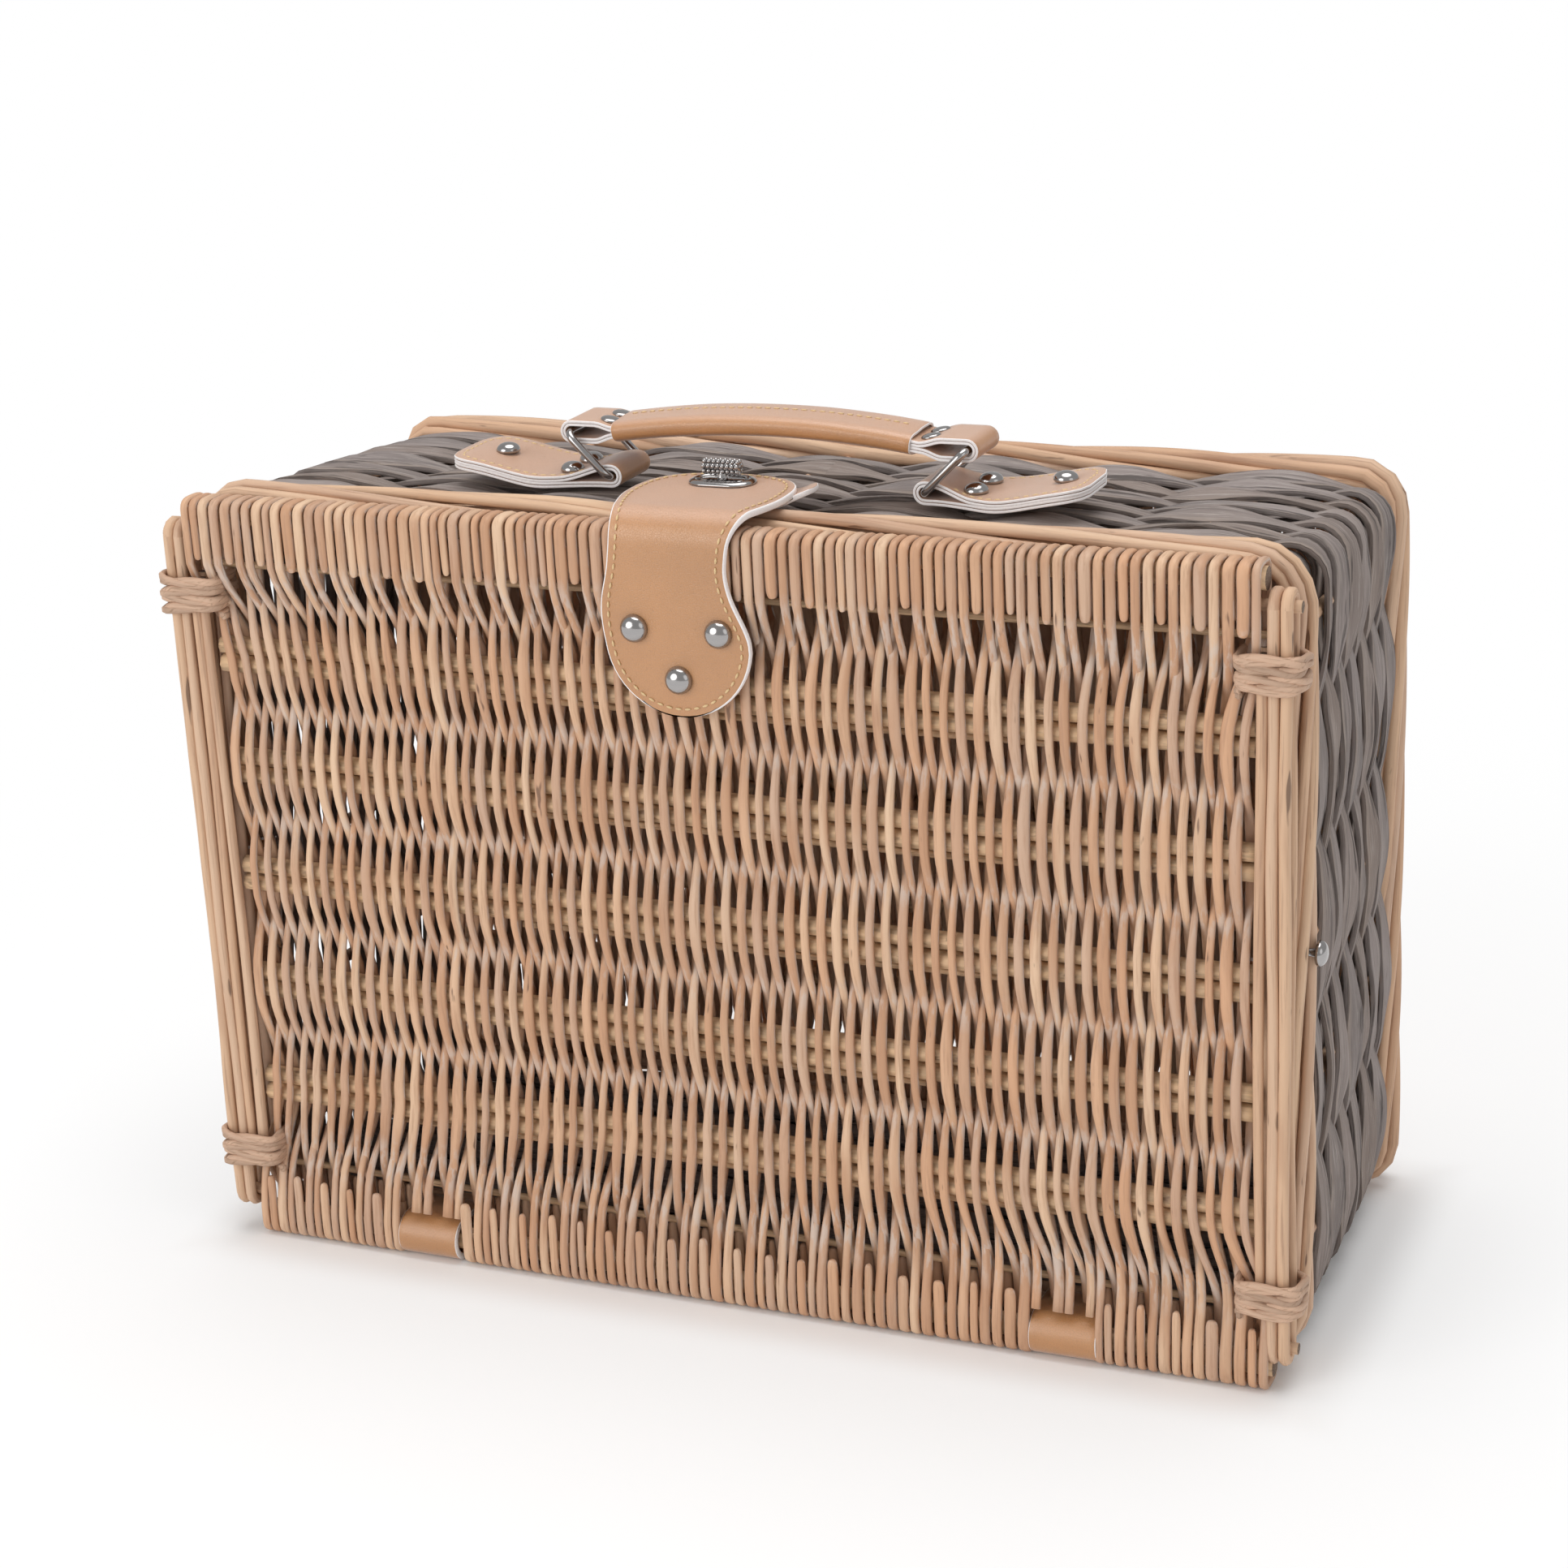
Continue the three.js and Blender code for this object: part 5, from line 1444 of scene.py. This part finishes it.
class HAMPER_OT_turn_lock(Operator):
    """Eyelet on the strap, lock plate, knurled knob and the leather patch under them"""
    bl_idname = "hamper.turn_lock"
    bl_label = "Turn-lock"

    def execute(self, context):
        self.eyelet()
        self.plate()
        self.knob()
        self.patch()
        return {"FINISHED"}

    def rings(self, levels, closed):
        """Solid of level ovals: each has a radius and a height, and two half rounds set apart."""
        sides, count = 40, len(levels)

        def corner(i, j):
            radius, height = levels[i % count]
            a = 2 * math.pi * (j % sides + 0.5) / sides
            c, s = math.cos(a), math.sin(a)
            x = LOCK.x + math.copysign(LOCK_REACH, c) + radius * c
            return Vector((x, LOCK.y + radius * s, height))

        return close(sheet_of(count if closed else count - 1, sides, corner, 0.01))

    def eyelet(self):
        low, high = span("eyelet")
        top = high.z - 1.2
        flange = [(8.0, 0), (7.9, 0.6), (7.0, 1.2), (6.0, 1.55), (5.2, 1.45), (4.7, 0.9)]
        levels = [(radius, top + up) for radius, up in flange]
        part = self.rings([*levels, (4.7, low.z), (5.5, low.z), (5.5, top)], True)
        ride(Shape().add(part).place("eyelet_ring", "chrome", chrome()), "tongue", "eyelet")

    def plate(self):
        low, high = span("lock_plate")
        flange = [(0.2, 0), (7.6, 0), (7.9, 0.5), (7.2, 0.9), (4.2, 1.1)]
        levels = [(radius, low.z + up) for radius, up in flange]
        part = self.rings([*levels, (4.0, high.z - 0.5), (3.5, high.z), (0.2, high.z + 0.15)], False)
        ride(Shape().add(part).place("lock_plate_boss", "chrome", chrome()), "basket", "lock_plate")

    def knob(self):
        """Barrel across a post, with rows of knurls round it."""
        low, high = span("turn_knob")
        mid = (low + high) / 2
        axis = high.z - 3.2
        columns, knurls, ring, pitch = 8, 7, 2.2, 1.85
        shape = Shape()
        post = turned([(0, 0), (2.1, 0), (2.1, 3.0), (1.7, 4.2), (1.9, 5.6), (0, 5.6)], 20)
        shape.add(turned_to(Z, (mid.x, mid.y, low.z), post))
        core = turned([(0, -7.0), (1.5, -7.0), (1.9, -6.5), (1.9, 6.5), (1.5, 7.0), (0, 7.0)], 20)
        shape.add(turned_to(X, (mid.x, mid.y, axis), core))
        for column in range(columns):
            x = mid.x + (column - (columns - 1) / 2) * pitch
            for k in range(knurls):
                a = 2 * math.pi * (k + 0.25) / knurls
                spot = Vector((x, mid.y + ring * math.cos(a), axis + ring * math.sin(a)))
                shape.add(bead((0.9, 0.98, 0.98), spot, None, 6, 8))
        ride(shape.place("turn_knob_barrel", "chrome", chrome()), "knob", "turn_knob")

    def patch(self):
        """Leather under the lock, curled up at its right end, and its two rivets."""
        low, high = span("lock_patch")
        mid = (low + high) / 2
        half_x, half_y = (high.x - low.x) / 2, (high.y - low.y) / 2 + 2
        rows, columns = 44, 12

        def corner(i, j):
            u = -math.cos(math.pi * i / rows)
            x = u * half_x
            reach = max(0.0, abs(x) - (half_x - half_y))
            half = math.sqrt(max(0.0, half_y ** 2 - reach ** 2))
            lift = smooth(x / 15) + 4.2 * smooth((x - 22) / 13)
            return Vector((mid.x + x, mid.y + half * (2 * j / columns - 1), high.z + lift))

        part = sheet_of(rows, columns, corner, 0.07, 0.02)
        bmesh.ops.remove_doubles(part, verts=part.verts, dist=1e-4)
        look_along(part, part.faces[:][rows * columns // 3], Z)
        shape = Shape().add(thicken(part, 1.9), bloom=True)
        piece = shape.place("lock_patch_leather", "leather", leather(), leather_edge())
        ride(piece, "basket", "lock_patch")
        rivets = Shape()
        for x, y, lift in ((-24.5, -3, 0), (27.5, -8.5, 2.6)):
            rivets.add(turned_to(Z, (mid.x + x, mid.y + y, high.z + lift), dome(3.3, 1.3)))
        ride(rivets.place("lock_patch_rivets", "chrome", chrome()), "basket")


class HAMPER_OT_hinge_straps(Operator):
    """Leather loops that hold the lid's lower stick to the rim"""
    bl_idname = "hamper.hinge_straps"
    bl_label = "Hinge straps"

    def execute(self, context):
        for _, name in SIDES:
            node = f"hinge_strap_{name}"
            low, high = span(node)
            mid = (low + high) / 2
            radius = (high.z - low.z) / 2
            front, back = low.y + radius, high.y - radius
            line = [*arc(front, mid.z, radius, 90, 270, 12), *arc(back, mid.z, radius, -90, 90, 12)]
            spots = evenly([Vector(p) for p in line] + [Vector(line[0])], 1.6)
            count = len(spots) - 1
            half, columns = (high.x - low.x) / 2, 10

            def corner(i, j):
                spot = spots[i % count]
                return Vector((mid.x + half * (2 * j / columns - 1), spot.x, spot.y))

            part = sheet_of(count, columns, corner, 0.08, 0.025)
            bmesh.ops.remove_doubles(part, verts=part.verts, dist=1e-3)
            first = part.faces[:][0]
            look_along(part, first, first.calc_center_median() - mid)
            shape = Shape().add(thicken(part, 2.5))
            ride(shape.place(f"{node}_loop", "leather", leather(), leather_edge()), "basket", node)
        return {"FINISHED"}


class HAMPER_OT_lid_stays(Operator):
    """Folded leather stays inside the lid's sides, and their rivets through the rim"""
    bl_idname = "hamper.lid_stays"
    bl_label = "Lid stays"

    def execute(self, context):
        swing, rows, columns = math.radians(88), 48, 6
        for side, name in SIDES:
            low, high = span(f"lid_stay_{name}")
            rivet = middle(f"stay_rivet_{name}")
            near, far = low.y + 0.8, rivet.y
            reach = rivet.z - LOW_AXIS
            half, head = 5.5, 3.4
            x = side * (max(abs(low.x), abs(high.x)) - half - 1)

            def corner(i, j):
                p = i / rows
                radius = reach * math.cos(swing / 2) / math.cos(swing * (smooth(p) - 0.5))
                across = side * half * (2 * j / columns - 1)
                return Vector((x + across, lerp(far, near, p), LOW_AXIS + radius))

            part = sheet_of(rows, columns, corner, 0.1, 0.012)
            bmesh.ops.recalc_face_normals(part, faces=part.faces)
            shape = Shape().add(thicken(part, 1.4, 0.2, False))
            piece = shape.place(f"lid_stay_{name}_strap", "leather", leather(), leather_edge())
            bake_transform(piece, "basket", "lid", start=metres(x, far, reach), end=metres(x, near, reach))
            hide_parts(f"lid_stay_{name}")
            outer = span(f"stay_rivet_{name}")[1 if side > 0 else 0].x - side * head
            rivets = Shape()
            rivets.add(turned_to(X * side, (outer, rivet.y, rivet.z), dome(4.7, head)))
            rivets.add(turned_to(X * -side, (x - side * 4.9, rivet.y, rivet.z), dome(3.2, 1.4)))
            shank = abs(outer - x) + 5
            pin = turned([(0, 0), (1.4, 0), (1.4, shank), (0, shank)], 12)
            rivets.add(turned_to(X * side, (x - side * 5, rivet.y, rivet.z), pin))
            piece = rivets.place(f"stay_rivet_{name}_dome", "chrome", chrome())
            ride(piece, "basket", f"stay_rivet_{name}")
        return {"FINISHED"}


class HAMPER_OT_handle_tabs(Operator):
    """Leather tabs that hold the rings, with their stitches and rivets"""
    bl_idname = "hamper.handle_tabs"
    bl_label = "Handle tabs"

    # Half width at the loop and at the wide end, radius of the end's corners, and how far it curls up.
    NARROW, WIDE, CORNER, CURL = 12.7, 20.0, 11, 5.5
    RIVET_RADIUS, RIVET_HEIGHT = 4.6, 3.4

    def execute(self, context):
        size = context.scene.hamper_leather
        for side, name in SIDES[::-1]:
            node = f"handle_tab_{name}"
            self.end = RING_PIVOT.x + TAB_REACH[side]
            line = self.profile(span(node)[0].z)
            shape = Shape()
            for k in range(2):
                offset = k * (mm(size.sheet) + 0.22)
                part = band_sheet(line, self.half, HANDLE.y, offset, mm(size.sheet), 12, -1)
                shape.add(mirrored(part, side), bloom=True)
            ride(shape.place(node + "_leather", "leather", leather(), leather_edge()), "basket", node)
            seam = Shape()
            points = self.seam(line, mm(size.stitch_inset))
            for part in stitch_row(points, [Z] * len(points), size):
                seam.add(mirrored(part, side))
            ride(seam.place(node + "_stitches", "leather", thread()), "basket")
            for spot in ("outer", "front", "back"):
                rivet = f"tab_rivet_{spot}_{name}"
                mid, base = middle(rivet), span(rivet)[1].z - self.RIVET_HEIGHT
                base += self.curl(HANDLE.x + side * (mid.x - HANDLE.x))
                head = dome(self.RIVET_RADIUS, self.RIVET_HEIGHT)
                shape = Shape().add(turned_to(Z, (mid.x, mid.y, base), head))
                ride(shape.place(rivet + "_dome", "chrome", chrome()), "basket", rivet)
        return {"FINISHED"}

    def profile(self, low):
        """Outer line of the right tab: in along the top, round the ring's bar and back out below."""
        x, z = RING_PIVOT.x, RING_PIVOT.z
        radius = z - low
        top = low + 4.45
        shares = [i / 8 for i in range(9)]
        slope = [(lerp(x + 20, x + 1, t), lerp(top, z + radius, smooth(t))) for t in shares]
        bend = arc(x, z, radius, 90, 270, 14)
        line = evenly([(self.end, top), *slope, *bend, (self.end, low)], 1.5)
        return [p + Vector((0, self.curl(p.x))) for p in line]

    def curl(self, x):
        """How far the tab's outer end curls up at x."""
        return self.CURL * smooth((x - RING_PIVOT.x - 24) / 38)

    def half(self, x):
        """Half width of the tab: narrow at the loop, wide and round at the outer end."""
        wide = lerp(self.NARROW, self.WIDE, smooth((x - RING_PIVOT.x - 3) / 30))
        over = max(0.0, x - (self.end - self.CORNER))
        if not over:
            return wide
        return wide - self.CORNER + math.sqrt(max(0.0, self.CORNER ** 2 - over ** 2))

    def seam(self, line, inset):
        """Line of stitches round the flat of the tab."""
        end = self.end
        top = line[0].y
        flat = [p for p in line[: len(line) // 2] if RING_PIVOT.x + 10 < p.x < end - inset]
        outline = [(p.x, self.half(p.x + inset * 0.6) - inset, p.y) for p in flat]
        points = [Vector((x, HANDLE.y - y, z)) for x, y, z in outline[::-1]]
        points += [Vector((end - inset, HANDLE.y + y, top - self.curl(end) + self.curl(end - inset)))
                   for y in range(-8, 9, 4)]
        points += [Vector((x, HANDLE.y + y, z)) for x, y, z in outline]
        return points


# Distance between the lower and the upper bar of a ring.
RING_HEIGHT = 22.5


class HAMPER_OT_rings(Operator):
    """Wire rings between the tabs and the handle"""
    bl_idname = "hamper.rings"
    bl_label = "Wire rings"

    def execute(self, context):
        for side, name in SIDES[::-1]:
            lean = Vector((side, 0, 1)).normalized()
            pivot = Vector((HANDLE.x + side * (RING_PIVOT.x - HANDLE.x), HANDLE.y, RING_PIVOT.z))
            half, bend, height, wire = 11.5, 3.5, RING_HEIGHT - 3.5, 1.5
            line = []
            for k, (across, up) in enumerate(((half, bend), (half, height), (-half, height), (-half, bend))):
                line += arc(across, up, bend, 90 * k - 90, 90 * k, 6)
            path = [pivot + Y * a + lean * b for a, b in line]
            shape = Shape().add(tube(path, [(wire, wire)] * len(path), Y.cross(lean), 12, closed=True))
            ride(shape.place(f"ring_{name}_wire", "chrome", chrome()), f"{name}_ring", f"ring_{name}")
        return {"FINISHED"}


class HAMPER_OT_handle(Operator):
    """Leather handle: looped strap ends and a flattened grip with a sewn seam"""
    bl_idname = "hamper.handle"
    bl_label = "Handle"

    # Half length and rise of the arch, and the place of the grip's seam from its middle.
    HALF, RISE, SEAM = 62, 5, 0.3
    # The strap's two leaves part over this distance, from one half gap to the other, to hold the ring.
    PARTING, PARTED = 60, 68.5
    CLOSED_GAP, LOOP_GAP = 2.2, 4.3
    # Half width of the strap, and how far from the middle its rivets sit: 1 is right and -1 is left.
    STRAP_HALF, RIVETS = 11.5, {1: 62.5, -1: 64.5}
    # Half width of the grip, and its height above and below its middle line.
    GRIP_HALF, GRIP_TOP, GRIP_FOOT = 13.0, 4.0, 4.6

    def execute(self, context):
        size = context.scene.hamper_leather
        self.ring_top = RING_PIVOT.z + RING_HEIGHT * math.sin(math.pi / 4)
        self.radius = (self.HALF ** 2 + self.RISE ** 2) / (2 * self.RISE)
        self.centre = self.ring_top + self.RISE - self.radius
        strap = Shape()
        rivets = Shape()
        for side in (1, -1):
            line = self.loop()
            for k in range(2):
                offset = k * (mm(size.sheet) + 0.15)
                part = band_sheet(line, lambda x: self.STRAP_HALF, HANDLE.y, offset, mm(size.sheet), 8)
                strap.add(mirrored(part, side), bloom=True)
            d = self.RIVETS[side]
            for y in (-5, 5):
                spot = (HANDLE.x + side * d, HANDLE.y + y, self.leaf(d))
                rivets.add(turned_to(Vector((side * -0.2, 0, 1)), spot, dome(3.7, 1.5)))
        piece = strap.place("handle_strap_leather", "leather", leather(), leather_edge())
        ride(piece, "handle", "handle_strap")
        ride(rivets.place("handle_rivets", "chrome", chrome()), "handle")
        grip = Shape().add(self.grip(), bloom=True)
        piece = grip.place("handle_grip_sleeve", "leather", leather(), leather_edge())
        ride(piece, "handle", "handle_grip")
        seam = Shape()
        lift = self.crown(self.SEAM) + 0.15
        points = [self.grip_spot(d, self.SEAM, lift) for d in range(-58, 56, 2)]
        for part in stitch_row(points, [Z] * len(points), size):
            seam.add(part)
        ride(seam.place("handle_grip_stitches", "leather", thread()), "handle")
        return {"FINISHED"}

    def arch(self, d):
        """Height of the handle's middle line at d from its middle."""
        return self.centre + math.sqrt(self.radius ** 2 - d * d)

    def leaf(self, d, side=1):
        """Height of the strap's upper or lower leaf at d from its middle, with room for the ring."""
        share = smooth((d - self.PARTING) / (self.PARTED - self.PARTING))
        spine = lerp(self.arch(min(d, self.PARTING)), self.ring_top, share)
        return spine + side * lerp(self.CLOSED_GAP, self.LOOP_GAP, share)

    def loop(self):
        """Outer line of the right end of the strap, round the ring's upper bar."""
        bar = self.HALF + RING_HEIGHT * math.cos(math.pi / 4) + 0.2
        places = [*range(46, self.PARTING, 4), *range(self.PARTING, 70), 72, 75]
        top = [(d, self.leaf(d)) for d in places]
        bend = arc(bar, self.ring_top, self.LOOP_GAP, 90, -90, 12)
        foot = [(d, self.leaf(d, -1)) for d in places[::-1]]
        return evenly([(HANDLE.x + d, z) for d, z in [*top, *bend, *foot]], 1.4)

    def crown(self, y):
        """Height of the grip's upper side above its middle line at y from its middle."""
        ridge = 0.5 * smooth((y - self.SEAM + 1.6) / 0.8) * smooth((self.GRIP_HALF - y) / 6)
        return self.GRIP_TOP * (1 - abs(y / self.GRIP_HALF) ** 7) ** 0.5 + ridge

    def grip_spot(self, d, y, lift):
        """Place along the arch, at y from its middle and lifted off its middle line."""
        tilt = d / self.radius
        return Vector((HANDLE.x + (self.radius + lift) * math.sin(tilt), HANDLE.y + y,
                       self.centre + (self.radius + lift) * math.cos(tilt)))

    def grip(self):
        """Flattened sleeve along the arch, rounder below, with the seam's ridge along the top."""
        sides, rows, start, end = 40, 48, -61, 57
        section = []
        for i in range(sides):
            a = 2 * math.pi * i / sides
            c, s = math.cos(a), math.sin(a)
            y = (self.GRIP_HALF - 0.1) * squared(c, 0.5 if s >= 0 else 0.8)
            section.append((y, self.crown(y) if s >= 0 else -self.GRIP_FOOT * abs(s) ** 0.75))
        rings = []
        for i in range(rows + 1):
            d = lerp(start, end, i / rows)
            dent = 1 + 0.025 * ripple(d * 0.05, 3.3, 0.2)
            rings.append([self.grip_spot(d, y * (1 + 0.01 * ripple(d * 0.06, y * 0.1, 7)), lift * dent)
                          for y, lift in section])
        part = sheet_of(rows, sides, lambda i, j: rings[i][j % sides], 0.122, 0.06)
        bmesh.ops.remove_doubles(part, verts=part.verts, dist=1e-4)
        first = part.faces[:][0]
        spot = first.calc_center_median()
        look_along(part, first, spot - Vector((spot.x, HANDLE.y, self.arch(self.PARTING))))
        return thicken(part, 1.0, 0.2)


# Stage

class HAMPER_OT_stage(Operator):
    """Pale floor, soft light and the camera"""
    bl_idname = "hamper.stage"
    bl_label = "Stage"

    # The camera's azimuth, elevation and roll in degrees, the place it looks at in millimetres, and its
    # distance from there in metres.
    CAMERA_TURNS = (23.7486, 18.9473, -2.824)
    CAMERA_TARGET = (-11.998, 100, 176.781)
    CAMERA_DISTANCE = 1.256396

    def execute(self, context):
        settings = context.scene.hamper_stage
        self.floor(settings)
        self.world(context.scene, settings)
        self.light("key_light", (-1.6, -2.8, 1.4), 2.6, settings.key)
        self.light("fill_light", (2.9, -1.2, 1.5), 2.2, settings.fill)
        self.light("top_light", (0.1, 0.3, 2.9), 2.4, settings.top)
        self.camera(context.scene, settings)
        context.scene.view_settings.view_transform = "Standard"
        return {"FINISHED"}

    def light(self, name, place, size, power):
        data = bpy.data.lights.new(name, "AREA")
        data.shape = "DISK"
        data.size = size
        data.energy = power
        lamp = bpy.data.objects.new(name, data)
        lamp.location = place
        way = Vector((0, 0, 0.15)) - lamp.location
        lamp.rotation_euler = way.to_track_quat("-Z", "Y").to_euler()
        bpy.context.scene.collection.objects.link(lamp)

    def floor(self, settings):
        part = bmesh.new()
        bmesh.ops.create_grid(part, x_segments=1, y_segments=1, size=10)
        mesh = bpy.data.meshes.new("floor")
        part.to_mesh(mesh)
        part.free()
        finish = Finish("floor")
        place = finish.object_point()
        far = finish.node("ShaderNodeVectorMath", {"operation": "LENGTH"}, {0: place}, "Value")
        under = self.beside(finish, place)
        fade = finish.step(under, -0.005, 0.02) * 0.5 + finish.step(far, 0.28, 0.75) * 0.5
        seen = self.seen(finish)
        finish.surface(Base_Color=paint(settings.floor), Roughness=0.9, Specular_IOR_Level=0.0)
        glow = finish.node("ShaderNodeEmission", {}, {"Color": (1, 1, 1, 1), "Strength": 1.0})
        share = finish.node("ShaderNodeMath", {"operation": "MULTIPLY"}, {0: seen, 1: fade})
        mixed = finish.node("ShaderNodeMixShader", {}, {0: share, 2: glow})
        links = finish.tree.links
        links.new(finish.shader.outputs[0], mixed.socket.node.inputs[1])
        links.new(mixed.socket, finish.tree.nodes["Material Output"].inputs["Surface"])
        mesh.materials.append(finish.material)
        floor = bpy.data.objects.new("floor", mesh)
        bpy.context.scene.collection.objects.link(floor)

    def beside(self, finish, place):
        """How far a place of the floor lies outside the hamper's outline, in metres."""
        parts = finish.tree.nodes.new("ShaderNodeSeparateXYZ")
        finish.feed(parts.inputs[0], place)
        low, high = (Vector(corner) for corner in PACKED_BOX)
        gaps = []
        for axis in range(2):
            middle_way, half = (low[axis] + high[axis]) / 2, (high[axis] - low[axis]) / 2
            gaps.append(finish.absolute(Shade(finish, parts.outputs[axis]) - middle_way) - half)
        return finish.node("ShaderNodeMath", {"operation": "MAXIMUM"}, {0: gaps[0], 1: gaps[1]})

    def seen(self, finish):
        """One for the camera and for mirror and glass, zero for plain light."""
        path = finish.tree.nodes.new("ShaderNodeLightPath")
        rays = [Shade(finish, path.outputs[name]) for name in
                ("Is Camera Ray", "Is Glossy Ray", "Is Transmission Ray")]
        every = rays[0] + rays[1] + rays[2]
        return finish.node("ShaderNodeMath", {"operation": "MINIMUM"}, {0: every, 1: 1.0})

    def world(self, scene, settings):
        world = bpy.data.worlds.new("studio")
        scene.world = world
        world.use_nodes = True
        tree = world.node_tree
        back = tree.nodes["Background"]
        path = tree.nodes.new("ShaderNodeLightPath")
        level = settings.sky
        for ray, strength in (("Is Camera Ray", 1.0), ("Is Glossy Ray", settings.mirror)):
            step = tree.nodes.new("ShaderNodeMath")
            step.operation = "MULTIPLY_ADD"
            tree.links.new(path.outputs[ray], step.inputs[0])
            step.inputs[1].default_value = strength - settings.sky
            if isinstance(level, float):
                step.inputs[2].default_value = level
            else:
                tree.links.new(level, step.inputs[2])
            level = step.outputs[0]
        tree.links.new(level, back.inputs["Strength"])
        back.inputs["Color"].default_value = (1, 1, 1, 1)

    def camera(self, scene, settings):
        azimuth, elevation, roll = (math.radians(a) for a in self.CAMERA_TURNS)
        back = Vector((math.sin(azimuth) * math.cos(elevation), -math.cos(azimuth) * math.cos(elevation),
                       math.sin(elevation)))
        right = Vector((math.cos(azimuth), math.sin(azimuth), 0))
        up = back.cross(right)
        tilted = right * math.cos(roll) + up * math.sin(roll)
        upright = up * math.cos(roll) - right * math.sin(roll)
        data = bpy.data.cameras.new("camera")
        data.sensor_fit = "HORIZONTAL"
        data.sensor_width = 36
        data.lens = settings.lens
        data.clip_end = 100
        camera = bpy.data.objects.new("camera", data)
        spot = Vector(metres(*self.CAMERA_TARGET)) + back * self.CAMERA_DISTANCE
        turn = Matrix((tilted, upright, back)).transposed().to_4x4()
        camera.matrix_world = Matrix.Translation(spot) @ turn
        scene.collection.objects.link(camera)
        scene.camera = camera


STEPS = (
    HAMPER_OT_stage, HAMPER_OT_lid_weave, HAMPER_OT_lid_sticks, HAMPER_OT_side_rods, HAMPER_OT_lashings,
    HAMPER_OT_closure_strap, HAMPER_OT_turn_lock, HAMPER_OT_rim, HAMPER_OT_stakes, HAMPER_OT_wall_bands,
    HAMPER_OT_base_border, HAMPER_OT_base_panel, HAMPER_OT_hinge_straps, HAMPER_OT_lid_stays,
    HAMPER_OT_handle_tabs, HAMPER_OT_rings, HAMPER_OT_handle,
)
SETTINGS = {
    "hamper_lid": LidSettings,
    "hamper_walls": WallSettings,
    "hamper_leather": LeatherSettings,
    "hamper_colours": ColourSettings,
    "hamper_stage": StageSettings,
}


class HAMPER_PT_panel(Panel):
    """Lists the hamper's settings and steps"""
    bl_idname = "HAMPER_PT_panel"
    bl_label = "Picnic Hamper"
    bl_space_type = "VIEW_3D"
    bl_region_type = "UI"
    bl_category = "Hamper"

    def draw(self, context):
        for name, group in SETTINGS.items():
            box = self.layout.box()
            box.label(text=group.__doc__.rstrip("."))
            settings = getattr(context.scene, name)
            for key in group.__annotations__:
                box.prop(settings, key)
        for step in STEPS:
            self.layout.operator(step.bl_idname)


CLASSES = (*SETTINGS.values(), *STEPS, HAMPER_PT_panel)


def register():
    for cls in CLASSES:
        bpy.utils.register_class(cls)
    for name, group in SETTINGS.items():
        setattr(bpy.types.Scene, name, PointerProperty(type=group))


def unregister():
    for name in SETTINGS:
        delattr(bpy.types.Scene, name)
    for cls in reversed(CLASSES):
        bpy.utils.unregister_class(cls)


def main():
    register()
    for step in STEPS:
        group, name = step.bl_idname.split(".")
        getattr(getattr(bpy.ops, group), name)()


if __name__ == "__main__":
    main()
